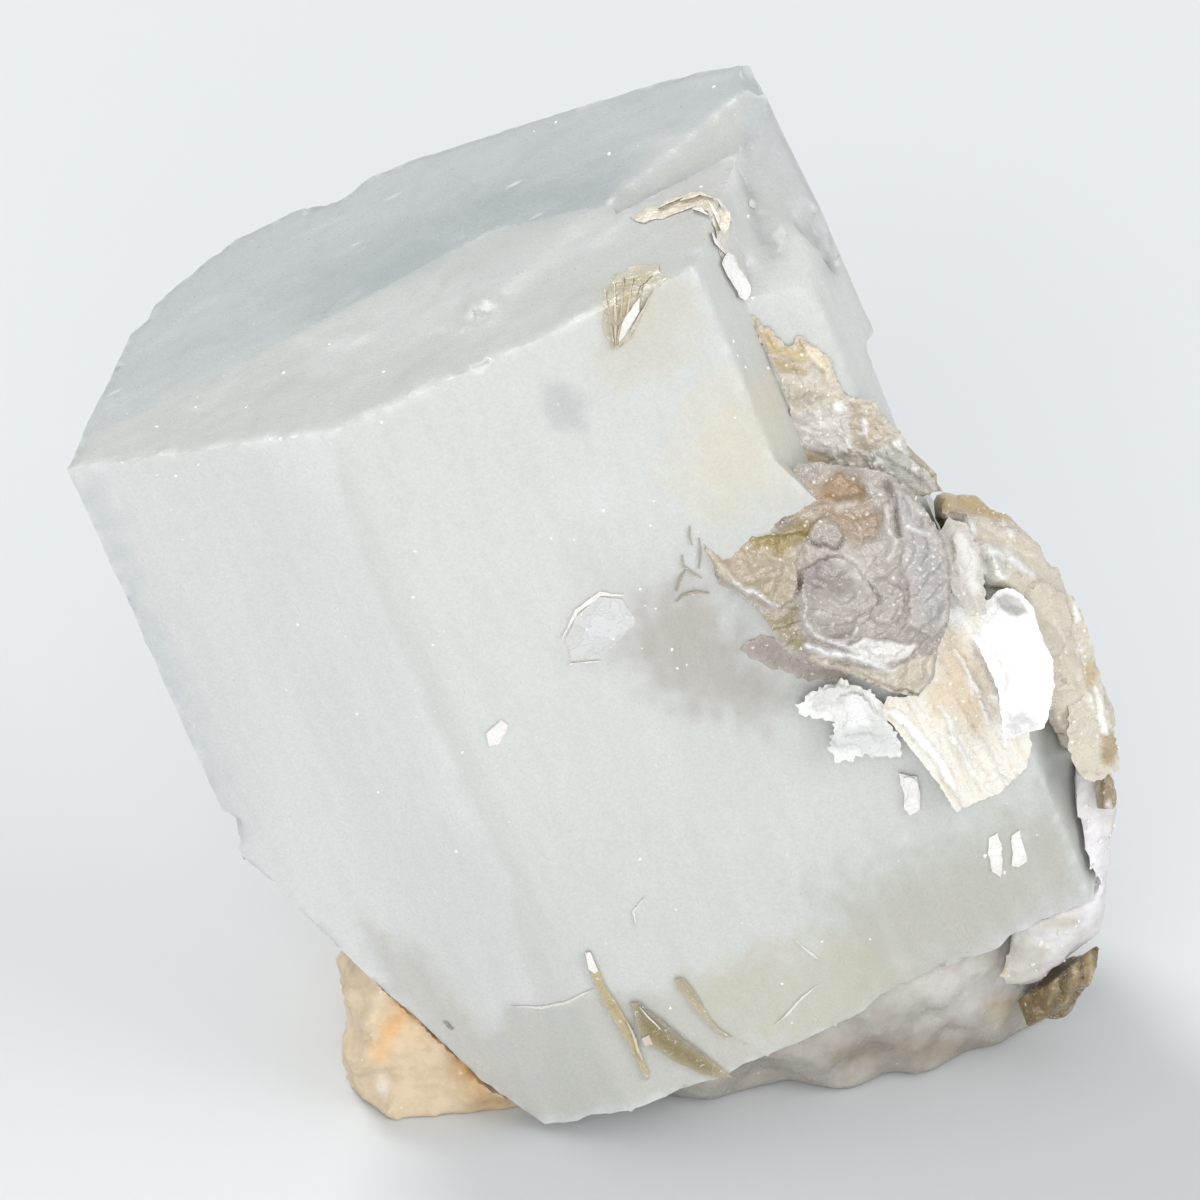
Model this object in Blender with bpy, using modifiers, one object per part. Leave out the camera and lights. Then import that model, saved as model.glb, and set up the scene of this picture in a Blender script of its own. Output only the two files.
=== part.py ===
"""Aquamarine on feldspar: a stubby beryl prism that leans to the left on a lump of feldspar and
quartz, with books of pale mica set in its right side.  Units are metres, +Z is up, and the specimen
stands on the plane z = 0 with the middle of its outline over the origin."""

import math
import random

import bmesh
import bpy
from mathutils import Matrix, Vector, noise

MM = 0.001
GAP = 0.3 * MM                      # clear distance between two grains that meet

# ---- driving dimensions of the beryl crystal, in millimetres ----
CRYSTAL_LENGTH = 57.2               # from the broken base to the basal face
CRYSTAL_FOOT = (7.6, 12.2, 5.3)     # the middle of the broken base
CRYSTAL_TURN = (-2.9, -19.85, 14.3)  # degrees about X, Y and Z: the long axis leans 20 degrees to the left
FACE_LEFT_FRONT = 16.76             # distances of the prism faces from the long axis
FACE_FRONT = 13.90
FACE_RIGHT_FRONT = 20.77
FACE_RIGHT = 25.86
FACE_RIGHT_BACK = 19.60
FACE_BACK = 15.00
FACE_BACK_SLANT = 15.37
FACE_LEFT_BACK = 17.90
FACE_LEFT = 20.55
SHOULDER_FRONT = 9.46               # the second, set-back individual grown on the right
SHOULDER_RIGHT_FRONT = 24.48
TOE_RIGHT_FRONT = 28.10             # the lower right front, which reaches as far forward as the main face
TOE_RIGHT = 27.30
BASAL_TILT = 2.5                    # degrees: the front half of the basal face falls a little forwards
WORN_SLOPE = 35.0                   # degrees: the worn face over the set-back individual

# ---- driving dimensions of the matrix, in millimetres ----
SIGHT_ORIGIN = (0.0, -4.4, 42.8)    # outlines of the mica are drawn facing a viewer 30 degrees above level
SIGHT_ELEVATION = 30.0
MATRIX_JOIN_X = 3.0                 # feldspar to the left of this, quartz to the right

# ---- driving dimensions of the mica ----
FRONT_LOOKS = (0.27, -0.51, 1.0)    # the way the crystal's front face looks, as the viewer sees it
BLADE_PROUD = 0.8                   # how far the edge-on blades stand out of the front face, in millimetres


# ---- scene helpers ----

def clear_scene():
    for old in list(bpy.data.objects):
        bpy.data.objects.remove(old, do_unlink=True)


def collection(name):
    made = bpy.data.collections.new(name)
    bpy.context.scene.collection.children.link(made)
    return made


def material(name, colour, roughness, transmission=0.0):
    made = bpy.data.materials.new(name)
    made.use_nodes = True
    shader = made.node_tree.nodes["Principled BSDF"]
    shader.inputs["Base Color"].default_value = (*colour, 1.0)
    shader.inputs["Roughness"].default_value = roughness
    shader.inputs["Metallic"].default_value = 0.0
    shader.inputs["Transmission Weight"].default_value = transmission
    made.diffuse_color = (*colour, 1.0)
    return made


def empty(name, location, turn_deg, parent=None):
    made = bpy.data.objects.new(name, None)
    made.empty_display_size = 10 * MM
    made.location = [value * MM for value in location]
    made.rotation_euler = [math.radians(value) for value in turn_deg]
    made.parent = parent
    SPECIMEN.objects.link(made)
    return made


def solid(name, bm, parent, finish=None):
    """A mesh object from bm: a piece of the specimen if it has a finish, else a cutter."""
    bmesh.ops.recalc_face_normals(bm, faces=bm.faces)
    mesh = bpy.data.meshes.new(name)
    bm.to_mesh(mesh)
    bm.free()
    made = bpy.data.objects.new(name, mesh)
    made.parent = parent
    if finish is None:
        CUTTERS.objects.link(made)
        made.hide_render = True
        made.display_type = "WIRE"
    else:
        SPECIMEN.objects.link(made)
        mesh.materials.append(finish)
    return made


def apply_modifiers(target):
    bpy.context.view_layer.update()
    seen = target.evaluated_get(bpy.context.evaluated_depsgraph_get())
    mesh = bpy.data.meshes.new_from_object(seen)
    target.modifiers.clear()
    target.data = mesh
    return target


def closed_volume(mesh):
    """The volume inside a mesh, or nothing if it has an open edge."""
    bm = bmesh.new()
    bm.from_mesh(mesh)
    closed = bool(bm.faces) and all(len(edge.link_faces) == 2 for edge in bm.edges)
    volume = bm.calc_volume() if closed else 0.0
    bm.free()
    return volume


def combine(target, tool, operation, solvers=("EXACT", "MANIFOLD")):
    """One Boolean between two closed solids, applied straight away, by the first solver to close it."""
    whole = target.data
    least = 0.05 * closed_volume(whole)
    for solver in solvers:
        target.data = whole
        boolean = target.modifiers.new(operation.lower(), "BOOLEAN")
        boolean.operation = operation
        boolean.solver = solver
        boolean.object = tool
        apply_modifiers(target)
        if closed_volume(target.data) > least:
            return target
    raise RuntimeError(f"{target.name} and {tool.name} don't combine")


def islands(bm):
    """The connected groups of faces in bm."""
    left = set(bm.faces)
    groups = []
    while left:
        group = []
        stack = [left.pop()]
        while stack:
            face = stack.pop()
            group.append(face)
            for edge in face.edges:
                for other in edge.link_faces:
                    if other in left:
                        left.discard(other)
                        stack.append(other)
        groups.append(group)
    return groups


def keep_largest(target):
    """Leaves the one connected body with the largest surface, and drops crumbs cut loose."""
    bm = bmesh.new()
    bm.from_mesh(target.data)
    bmesh.ops.remove_doubles(bm, verts=bm.verts, dist=0.0002 * MM)
    bmesh.ops.dissolve_degenerate(bm, edges=bm.edges, dist=0.0002 * MM)
    groups = sorted(islands(bm), key=lambda group: sum(face.calc_area() for face in group))
    crumbs = [face for group in groups[:-1] for face in group]
    bmesh.ops.delete(bm, geom=crumbs, context="FACES")
    bmesh.ops.delete(bm, geom=[edge for edge in bm.edges if not edge.link_faces], context="EDGES")
    bmesh.ops.delete(bm, geom=[vert for vert in bm.verts if not vert.link_faces], context="VERTS")
    bm.to_mesh(target.data)
    bm.free()
    return target


def room_of(made, clearance=2 * GAP):
    """A cutter that is the piece swollen along its normals, so that a neighbour keeps clear of it."""
    bm = bmesh.new()
    bm.from_mesh(made.data)
    bmesh.ops.triangulate(bm, faces=bm.faces)
    bm.normal_update()
    moves = [vert.normal * clearance * vert.calc_shell_factor() for vert in bm.verts]
    for vert, move in zip(bm.verts, moves):
        vert.co += move.normalized() * min(move.length, clearance * 2.5)
    room = solid(made.name + "_room", bm, made.parent)
    return room


# ---- shapes ----

def azimuth(degrees_round):
    return Vector((math.cos(math.radians(degrees_round)), math.sin(math.radians(degrees_round)), 0.0))


def slope(degrees_round, degrees_down):
    """The outward normal of a face that dips towards degrees_round by degrees_down."""
    down = math.radians(degrees_down)
    return azimuth(degrees_round) * math.sin(down) + Vector((0.0, 0.0, math.cos(down)))


def block(planes, grow):
    """A convex solid in millimetres: a large cube cut by each (point, outward normal), grown by grow."""
    bm = bmesh.new()
    bmesh.ops.create_cube(bm, size=400 * MM)
    for point, normal in planes:
        outward = Vector(normal).normalized()
        here = Vector(point) * MM + outward * grow
        geometry = bm.verts[:] + bm.edges[:] + bm.faces[:]
        cut = bmesh.ops.bisect_plane(bm, geom=geometry, plane_co=here, plane_no=outward, clear_outer=True)
        rim = [item for item in cut["geom_cut"] if isinstance(item, bmesh.types.BMEdge)]
        bmesh.ops.edgeloop_fill(bm, edges=rim)
    return bm


def prism_face(degrees_round, distance):
    return azimuth(degrees_round) * distance, azimuth(degrees_round)


def ground(name, height, lower, size, cells, parent):
    """A solid with an uneven top: height(x, y) in millimetres over a grid, down to the level lower."""
    bm = bmesh.new()
    made = bmesh.ops.create_grid(bm, x_segments=cells[0], y_segments=cells[1], size=0.5 * MM)
    for vert in made["verts"]:
        x = vert.co.x / MM * size[0]
        y = vert.co.y / MM * size[1]
        vert.co = Vector((x, y, height(x, y))) * MM
    skirt = bmesh.ops.extrude_face_region(bm, geom=bm.faces[:])
    for item in skirt["geom"]:
        if isinstance(item, bmesh.types.BMVert):
            item.co.z = lower * MM
    return solid(name, bm, parent)


def lump(name, corners, cell, rough, seed, parent, finish, ledges=()):
    """A stone in millimetres: the hull of its corners, remeshed to cell, roughened and, for each
    (direction, step) of ledges, pulled into steps along that cleavage direction."""
    bm = bmesh.new()
    for corner in corners:
        bm.verts.new(Vector(corner) * MM)
    bmesh.ops.convex_hull(bm, input=bm.verts)
    loose = [vert for vert in bm.verts if not vert.link_faces]
    bmesh.ops.delete(bm, geom=loose, context="VERTS")
    made = solid(name, bm, parent, finish)
    remesh = made.modifiers.new("even_cells", "REMESH")
    remesh.mode = "VOXEL"
    remesh.voxel_size = cell * MM
    apply_modifiers(made)
    bm = bmesh.new()
    bm.from_mesh(made.data)
    shift = Vector((seed * 7.3, seed * 3.1, seed * 5.7))
    moves = []
    for vert in bm.verts:
        place = vert.co / MM
        broad = noise.noise(place * 0.16 + shift)
        fine = noise.noise(place * 0.55 + shift)
        moves.append(vert.normal * (broad * 1.3 + fine * 0.7) * rough * MM)
    for vert, move in zip(bm.verts, moves):
        vert.co += move
    for direction, step in ledges:
        along = Vector(direction).normalized()
        for vert in bm.verts:
            place = vert.co / MM
            level = place.dot(along) + 1.6 * noise.noise(place * 0.11 + shift)
            vert.co += along * (round(level / step) * step - level) * 0.72 * MM
    bm.to_mesh(made.data)
    bm.free()
    return made


def base_stone(name, corners, cell, rough, seed, finish, ledges):
    """A stone sawn flat at z = 0: its corners on that plane are pushed through it before the cut."""
    sunk = [(x, y, z if z > 0 else -4.0) for x, y, z in corners]
    made = lump(name, sunk, cell, rough, seed, ROOT, finish, ledges)
    bm = bmesh.new()
    bm.from_mesh(made.data)
    geometry = bm.verts[:] + bm.edges[:] + bm.faces[:]
    floor = {"plane_co": (0, 0, 0), "plane_no": (0, 0, -1)}
    cut = bmesh.ops.bisect_plane(bm, geom=geometry, clear_outer=True, **floor)
    rim = [item for item in cut["geom_cut"] if isinstance(item, bmesh.types.BMEdge)]
    bmesh.ops.edgeloop_fill(bm, edges=rim)
    bm.to_mesh(made.data)
    bm.free()
    return made


# ---- the beryl crystal ----

def base_height(x, y):
    """The broken base: nearly square to the long axis, and cut away steeply at the left."""
    broad = noise.noise(Vector((x * 0.16, y * 0.16, 3.7)))
    fine = noise.noise(Vector((x * 0.45, y * 0.45, 4.1)))
    uneven = 0.9 * broad + 0.5 * fine
    flat_part = 0.12 * (y + 13.7) + uneven
    steep_part = 25.2 - 2.5 * (x + 26.0) + 2.2 * uneven
    return max(flat_part, steep_part)


def growth_steps(top):
    """Thin overgrowths on the back of the prism, each a low plate with slanted ends."""
    plates = [
        (90, FACE_BACK + 0.7, -9.0, 2.6, 29.0, -13.0),
        (75.5, FACE_BACK_SLANT + 0.6, 1.6, 9.0, 39.0, -13.2),
        (75.5, FACE_BACK_SLANT + 0.45, 10.4, 16.6, top - 12.0, -13.4),
        (120, FACE_LEFT_BACK + 0.6, -9.2, -2.4, 42.0, -13.6),
        (150, FACE_LEFT + 0.45, -13.4, -1.0, top - 9.0, 22.0),
    ]
    for turn, reach, start, end, high, low in plates:
        along = azimuth(turn - 90)
        face = azimuth(turn) * reach
        yield [
            prism_face(turn, reach),
            prism_face(turn + 180, 6.0 - reach),
            (face + along * end, along + azimuth(turn) * 0.5),
            (face + along * start, azimuth(turn) * 0.5 - along),
            (face + Vector((0, 0, high)), Vector((0, 0, 1)) + azimuth(turn) * 0.6 + along * 0.15),
            ((0, 0, low), (0, 0, -1)),
        ]


def crystal_body(name, grow, finish=None):
    """The crystal with every face moved out by grow: the real one, or the pocket it leaves."""
    top = CRYSTAL_LENGTH
    back = [
        prism_face(0, FACE_RIGHT),
        prism_face(60, FACE_RIGHT_BACK),
        prism_face(75.5, FACE_BACK_SLANT),
        prism_face(90, FACE_BACK),
        prism_face(120, FACE_LEFT_BACK),
        prism_face(150, FACE_LEFT),
        ((0, 0, top), (0, 0, 1)),
        ((0, 0, -14.0), (0, 0, -1)),
    ]
    main = [
        prism_face(-120, FACE_LEFT_FRONT),
        prism_face(-90, FACE_FRONT),
        prism_face(-30, FACE_RIGHT_FRONT),
        ((13.5, -2.0, top), slope(-96, BASAL_TILT)),
    ]
    shoulder = [
        prism_face(-90, SHOULDER_FRONT),
        prism_face(-30, SHOULDER_RIGHT_FRONT),
        prism_face(180, -2.0),
        ((13.5, -1.8, top), slope(-61, WORN_SLOPE)),
    ]
    toe = [
        prism_face(-90, FACE_FRONT),
        prism_face(-30, TOE_RIGHT_FRONT),
        prism_face(0, TOE_RIGHT),
        prism_face(90, 6.0),
        prism_face(180, -2.0),
        ((16.2, -13.9, 41.0), (0.937, -0.10, 0.351)),
        ((0, 0, 48.0), (0, 0, 1)),
        ((0, 0, -14.0), (0, 0, -1)),
    ]
    body = solid(name, block(back + main, grow), CRYSTAL_AXES, finish)
    worn_cut = [
        ((13.3, 0, 0), (-1, 0, 0)),
        ((0, -5.0, 0), (0.1, -1, 0)),
        ((13.5, -1.8, top), -slope(-61, WORN_SLOPE)),
        ((0, 0, top + 20), (0, 0, 1)),
        ((40, 0, 0), (1, 0, 0)),
        ((0, 40, 0), (0, 1, 0)),
    ]
    combine(body, solid(name + "_worn_cut", block(worn_cut, -grow), CRYSTAL_AXES), "DIFFERENCE")
    combine(body, solid(name + "_shoulder", block(back + shoulder, grow), CRYSTAL_AXES), "UNION")
    combine(body, solid(name + "_toe", block(toe, grow), CRYSTAL_AXES), "UNION")
    for number, step in enumerate(growth_steps(top), 1):
        combine(body, solid(f"{name}_step_{number}", block(step, grow), CRYSTAL_AXES), "UNION")
    base = ground(name + "_base", base_height, -40.0, (76.0, 60.0), (30, 18), CRYSTAL_AXES)
    base.location.z = -grow
    combine(body, base, "DIFFERENCE")
    return body


def chip(name, place, radius, stretch, turn_deg, seed):
    """A conchoidal bite out of an edge: a rough, stretched ball in crystal millimetres."""
    bm = bmesh.new()
    bmesh.ops.create_icosphere(bm, subdivisions=2, radius=radius * MM)
    for vert in bm.verts:
        vert.co *= 1.0 + 0.22 * noise.noise(vert.co / MM * 0.6 + Vector((seed, 0, 0)))
        vert.co = Vector(value * factor for value, factor in zip(vert.co, stretch))
    made = solid(name, bm, CRYSTAL_AXES)
    made.location = Vector(place) * MM
    made.rotation_euler = [math.radians(value) for value in turn_deg]
    return made


def crystal():
    body = crystal_body("aquamarine", 0.0, FINISH["aquamarine"])
    top = CRYSTAL_LENGTH
    slab = [
        ((-1.6, 0, 0), (1, 0, 0.2)),
        ((0, 14.0, 0), (0, -1, 0)),
        ((0, 0, top - 24), (0, 0.5, -1)),
        ((-60, 0, 0), (-1, 0, 0)),
        ((0, 40, 0), (0, 1, 0)),
        ((0, 0, top + 20), (0, 0, 1)),
    ]
    combine(body, solid("back_step_cut", block(slab, 0.0), CRYSTAL_AXES), "DIFFERENCE")
    notch = [
        ((24.9, 0, 0), (-1, 0, 0)),
        ((0, 0, 46.5), (0.2, 0, 1)),
        ((60, 0, 0), (1, 0, 0)),
        ((0, -40, 0), (0, -1, 0)),
        ((0, 40, 0), (0, 1, 0)),
        ((0, 0, 24.0), (0, 0, -1)),
    ]
    combine(body, solid("right_step_cut", block(notch, 0.0), CRYSTAL_AXES), "DIFFERENCE")
    bites = [
        ((-2.0, 15.6, top + 0.9), 2.2, (1.5, 0.8, 0.8), (0, 0, 8)),
        ((13.6, 14.6, top + 0.8), 2.4, (1.0, 1.0, 0.7), (0, 0, 20)),
        ((20.4, 11.6, top + 0.9), 2.0, (1.6, 0.7, 0.8), (0, 0, -30)),
        ((25.9, 5.8, top + 0.3), 1.5, (0.8, 1.3, 0.9), (0, 10, 0)),
        ((-18.6, 10.2, top + 0.8), 1.9, (1.5, 0.8, 0.8), (0, 0, 40)),
        ((5.5, -14.6, 8.4), 1.2, (2.4, 0.5, 0.8), (0, 10, 0)),
        ((24.8, -4.6, 50.4), 1.5, (0.7, 1.0, 2.2), (0, 0, 20)),
        ((-26.2, -6.0, 27.0), 2.1, (0.9, 0.9, 1.2), (0, 20, 0)),
    ]
    for number, (place, radius, stretch, turn) in enumerate(bites, 1):
        combine(body, chip(f"chip_{number}", place, radius, stretch, turn, number), "DIFFERENCE")
    return keep_largest(body)


# ---- the matrix ----

def join_height(x, y):
    """The seam between feldspar and quartz, as a surface that faces along X."""
    return MATRIX_JOIN_X + 2.6 * noise.noise(Vector((x * 0.11, y * 0.11, 5.3))) - 0.08 * x


def join_cutter(name, side):
    """Everything beyond the seam on one side: -1 is the left, 1 the right."""
    made = ground(name, join_height, side * 80.0, (80.0, 80.0), (26, 26), ROOT)
    made.rotation_euler = (0.0, math.radians(90), 0.0)
    made.location.x = -side * GAP / 2
    return made


def feldspar():
    corners = [
        (-12.6, -0.2, 0), (-15.8, 1.4, 0), (-16.6, 1.0, 3), (-17.3, 1.2, 5.5), (-16.7, 0.9, 9.2),
        (-16.0, 0.9, 12.0), (-15.6, 0.4, 15.6), (-6.8, 0.6, 0), (-7.4, -0.4, 1.2), (-16.4, 8, 17),
        (-17.2, 12, 8), (-16.0, 20, 15), (-14.8, 23, 5), (-8, 27.5, 0), (-13, 26, 9), (9, 28.5, 0),
        (9, 30.0, 6), (9, 4.5, 0), (9, 5.0, 8), (-2, 2.4, 1.0), (-15.5, 20, 0), (-16.6, 6, 0),
        (-10, 0.6, 16), (9, 29, 14), (-9, 27, 17), (-3, 30.5, 12),
    ]
    cleavage = [((0.86, 0.34, 0.38), 2.6), ((-0.30, 0.92, -0.22), 3.1)]
    made = base_stone("feldspar", corners, 1.65, 0.5, 1, FINISH["feldspar"], cleavage)
    combine(made, join_cutter("join_cut_left", 1), "DIFFERENCE")
    return clear_of(made, [])


def quartz():
    corners = [
        (-2, 5.5, 0), (9, 6.3, 0), (15.5, 6.9, 0), (20, 7.5, 0), (26, 9.3, 0), (28.2, 11, 0),
        (30, 13, 0), (-2, 0.5, 2.6), (9.1, -1.0, 4.6), (16.9, 0.8, 8.2), (23, 2.3, 10.8), (27.0, 4.5, 12.5),
        (30.5, 9.0, 12.5), (31.5, 16, 14), (30, 22, 12), (28, 25, 4), (21, 28.5, 0), (-2, 27.5, 0),
        (-2, 28.5, 6), (12, 29.5, 12), (24, 29.5, 19), (31.5, 14, 4), (29.5, 20, 0), (30, 25, 19),
    ]
    made = base_stone("quartz", corners, 1.85, 0.62, 2, FINISH["quartz"], [((0.5, 0.55, 0.67), 4.4)])
    combine(made, join_cutter("join_cut_right", -1), "DIFFERENCE")
    return clear_of(made, [])


def albite():
    corners = [
        (31.4, -10.2, -19.2), (34.1, -9.8, -20.6), (34.7, -13.0, -21.4), (34.7, -15.0, -21.8),
        (34.4, -18.2, -21.6), (32.2, -18.4, -20.2), (34.0, -22.4, -25.0), (29.9, -23.6, -23.4),
        (28.3, -26.3, -26.0), (26.3, -26.5, -26.0), (26.0, -24.4, -24.6), (34.2, -11.0, -31.0),
        (33.6, -21.5, -33.0), (27.0, -26.0, -30.0), (30.5, -14.0, -33.0),
    ]
    made = lump("albite", corners, 1.4, 0.4, 3, SIGHT, FINISH["albite"])
    return clear_of(made, [room_of(bpy.data.objects["quartz"])])


# ---- the mica, drawn as a viewer 30 degrees above level sees it: right, up and towards the viewer ----

def face_depth(right, up, distance=FACE_FRONT):
    """How far towards the viewer the crystal's front face, or one parallel to it, lies at a place."""
    to_sight = SIGHT.matrix_world.inverted() @ CRYSTAL_AXES.matrix_world
    point = to_sight @ (Vector((0, -distance, 0)) * MM) / MM
    normal = to_sight.to_3x3() @ Vector((0, -1, 0))
    return point.z - (normal.x * (right - point.x) + normal.y * (up - point.y)) / normal.z


def sheet(name, outline, centre, facing, level, thickness):
    """One cleavage sheet: an outline cast along the line of sight onto the plane that faces facing."""
    normal = Vector(facing).normalized()
    turn = normal.to_track_quat("Z", "Y").to_matrix().to_4x4()
    place = Matrix.Translation((Vector(centre) + normal * level) * MM) @ turn
    into_plane = place.inverted()
    curve = bpy.data.curves.new(name, "CURVE")
    curve.dimensions = "2D"
    curve.fill_mode = "BOTH"
    curve.extrude = thickness * MM / 2
    spline = curve.splines.new("POLY")
    spline.points.add(len(outline) - 1)
    spline.use_cyclic_u = True
    for point, (right, up) in zip(spline.points, outline):
        depth = centre[2] - (normal.x * (right - centre[0]) + normal.y * (up - centre[1])) / normal.z
        flat = into_plane @ (Vector((right, up, depth)) * MM)
        point.co = (flat.x, flat.y, 0.0, 1.0)
    drawn = bpy.data.objects.new(name, curve)
    CUTTERS.objects.link(drawn)
    bpy.context.view_layer.update()
    mesh = bpy.data.meshes.new_from_object(drawn.evaluated_get(bpy.context.evaluated_depsgraph_get()))
    bpy.data.objects.remove(drawn)
    bm = bmesh.new()
    bm.from_mesh(mesh)
    bmesh.ops.remove_doubles(bm, verts=bm.verts, dist=0.001 * MM)
    bmesh.ops.transform(bm, matrix=place, verts=bm.verts)
    return bm


def middle(outline):
    return tuple(sum(point[axis] for point in outline) / len(outline) for axis in (0, 1))


def book(name, outline, *, depth, facing, thickness, sheets, seed, fray=0.5, taper=0.16, finish="mica"):
    """A stack of overlapping cleavage sheets joined in one stepped solid, its front at depth."""
    rng = random.Random(seed)
    across, up = middle(outline)
    pitch = thickness / sheets
    stack = None
    for number in range(sheets):
        behind = sheets - 1 - number
        shrink = 1.0 - taper * (number / max(1, sheets - 1)) * rng.uniform(0.6, 1.2)
        lean = Vector((rng.uniform(-0.03, 0.03), rng.uniform(-0.03, 0.03), 0.0))
        drift = (rng.uniform(-0.25, 0.25), rng.uniform(-0.25, 0.25))
        edge = []
        for x, y in outline:
            ray = Vector((x - across, y - up))
            reach = ray.length * shrink + rng.uniform(-fray, 0.15 * fray)
            spot = ray.normalized() * reach
            edge.append((across + drift[0] + spot.x, up + drift[1] + spot.y))
        level = -(behind + 0.5) * pitch
        plate = sheet(name, edge, (across, up, depth), Vector(facing) + lean, level, pitch * 1.4)
        made = solid(f"{name}_sheet_{number}", plate, SIGHT, FINISH.get(finish) if stack is None else None)
        if stack is None:
            stack = made
            stack.name = name
        else:
            combine(stack, made, "UNION")
    return stack


def clear_of(made, neighbours):
    """Cuts the crystal's pocket and the room of finished neighbours out of a grain."""
    for other in [POCKET, *neighbours]:
        combine(made, other, "DIFFERENCE", ["MANIFOLD"])
    return keep_largest(made)


SILVER_PLATE = [
    (24.5, -0.9), (25.6, -0.1), (26.2, 0.7), (27.2, 0.6), (28.6, -0.7), (29.5, -2.6), (29.9, -4.6),
    (29.8, -6.3), (29.3, -7.9), (28.5, -8.7), (26.9, -9.3), (26.3, -6.4), (24.7, -3.3),
]
MAIN_BOOK = [
    (6.4, 6.4), (8.8, 7.0), (11.8, 7.7), (15.1, 9.0), (18.9, 8.3), (21.1, 6.0), (22.8, 3.6), (22.9, 1.2),
    (22.6, -1.6), (21.8, -5.0), (20.2, -6.2), (18.5, -5.6), (15.8, -4.6), (13.5, -2.7), (11.8, -0.5),
    (9.4, 0.0), (7.6, 1.4), (6.9, 3.5),
]
WHITE_FAN = [
    (12.9, -7.0), (14.3, -6.3), (15.8, -5.5), (17.9, -6.2), (19.3, -7.0), (20.6, -9.3), (19.8, -10.3),
    (17.5, -10.1), (15.8, -10.5), (15.1, -10.0), (15.4, -8.2), (14.0, -7.8),
]
CREST_ARC = [
    (2.0, 25.1), (3.3, 25.9), (4.4, 26.4), (6.1, 26.8), (7.6, 26.4), (8.7, 24.9), (7.4, 24.2), (6.7, 25.0),
    (5.9, 25.3), (4.4, 25.0), (3.3, 24.3), (2.3, 24.2),
]
CREST_LEG = [
    (7.7, 25.7), (8.7, 24.9), (8.5, 23.4), (9.3, 22.0), (10.2, 20.2), (9.7, 19.2), (8.5, 19.9), (7.7, 21.4),
    (7.1, 23.6),
]
TOP_SPRAY = [
    (0.4, 19.5), (1.4, 20.5), (2.6, 21.0), (4.0, 20.8), (3.9, 19.6), (3.1, 18.2), (2.3, 16.7), (1.4, 16.1),
    (0.8, 17.2),
]
GOLD_CORE = [
    (10.6, 16.6), (12.6, 16.8), (14.8, 15.6), (15.6, 13.8), (17.8, 12.4), (19.6, 10.6), (19.8, 9.2),
    (17.0, 9.4), (14.6, 9.6), (13.0, 10.2), (12.4, 12.4), (11.4, 15.0),
]
BROWN_UPPER = [
    (30.0, -23.8), (30.9, -21.6), (31.6, -20.8), (34.0, -22.6), (34.5, -24.2), (34.0, -25.8), (33.0, -26.9),
    (31.4, -27.4),
]
BROWN_LOWER = [
    (28.1, -28.1), (29.1, -26.4), (30.6, -25.6), (32.0, -27.0), (31.1, -28.5), (30.0, -28.8), (29.2, -28.7),
]
EDGE_BOOK = [(33.3, -10.6), (34.2, -11.1), (34.6, -13.0), (34.4, -14.2), (33.4, -14.0), (33.1, -12.4)]
BLADES = {
    "mica_blade_thin": [
        (-0.9, -23.2), (-0.5, -23.8), (0.4, -25.6), (1.7, -28.0), (3.4, -31.6), (2.9, -31.8), (1.1, -28.5),
        (-0.4, -25.0),
    ],
    "mica_blade_olive": [
        (2.1, -26.7), (3.4, -27.0), (5.2, -28.9), (7.5, -30.8), (8.9, -32.0), (6.6, -31.7), (3.8, -29.9),
        (2.8, -29.4),
    ],
    "mica_blade_short": [
        (5.1, -25.3), (6.3, -26.5), (7.7, -28.3), (8.8, -29.2), (8.0, -29.0), (6.6, -27.6), (5.3, -26.1),
    ],
}


def flakes(name, core, spots, seed):
    """Small flakes at all angles grown out of a core: (right, up, depth, radius, facing) for each."""
    rng = random.Random(seed)
    for number, (right, up, depth, radius, facing) in enumerate(spots):
        outline = []
        start = rng.uniform(0, 60)
        for corner in range(6):
            angle = math.radians(start + 60 * corner + rng.uniform(-12, 12))
            reach = radius * rng.uniform(0.8, 1.15)
            outline.append((right + reach * math.cos(angle), up + reach * math.sin(angle)))
        plate = sheet(name, outline, (right, up, depth), facing, -0.35, 0.7)
        combine(core, solid(f"{name}_flake_{number}", plate, SIGHT), "UNION")
    return core


def golden_shell():
    corners = [
        (21.6, 6.8, -10.5), (22.6, 7.2, -14), (25.0, 7.0, -16), (27.6, 4.8, -15.5), (30.2, 2.2, -15.5),
        (32.2, -2.3, -16.5), (33.5, -5.9, -17.5), (34.2, -9.6, -19.5), (31.4, -10.2, -17.5),
        (29.9, -7.8, -15.0), (29.8, -4.0, -13.8), (28.6, -0.7, -12.8), (26.0, 1.2, -11.8),
        (23.4, 3.6, -10.6), (22.0, 6.5, -21), (26.0, 5.5, -27), (30.0, 1.5, -29), (33.0, -4.5, -31),
        (33.8, -9.5, -31), (30.0, -10.5, -31),
    ]
    cleavage = [((0.80, 0.25, 0.54), 1.7)]
    return lump("mica_golden_shell", corners, 1.4, 0.3, 4, SIGHT, FINISH["mica"], cleavage)


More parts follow.
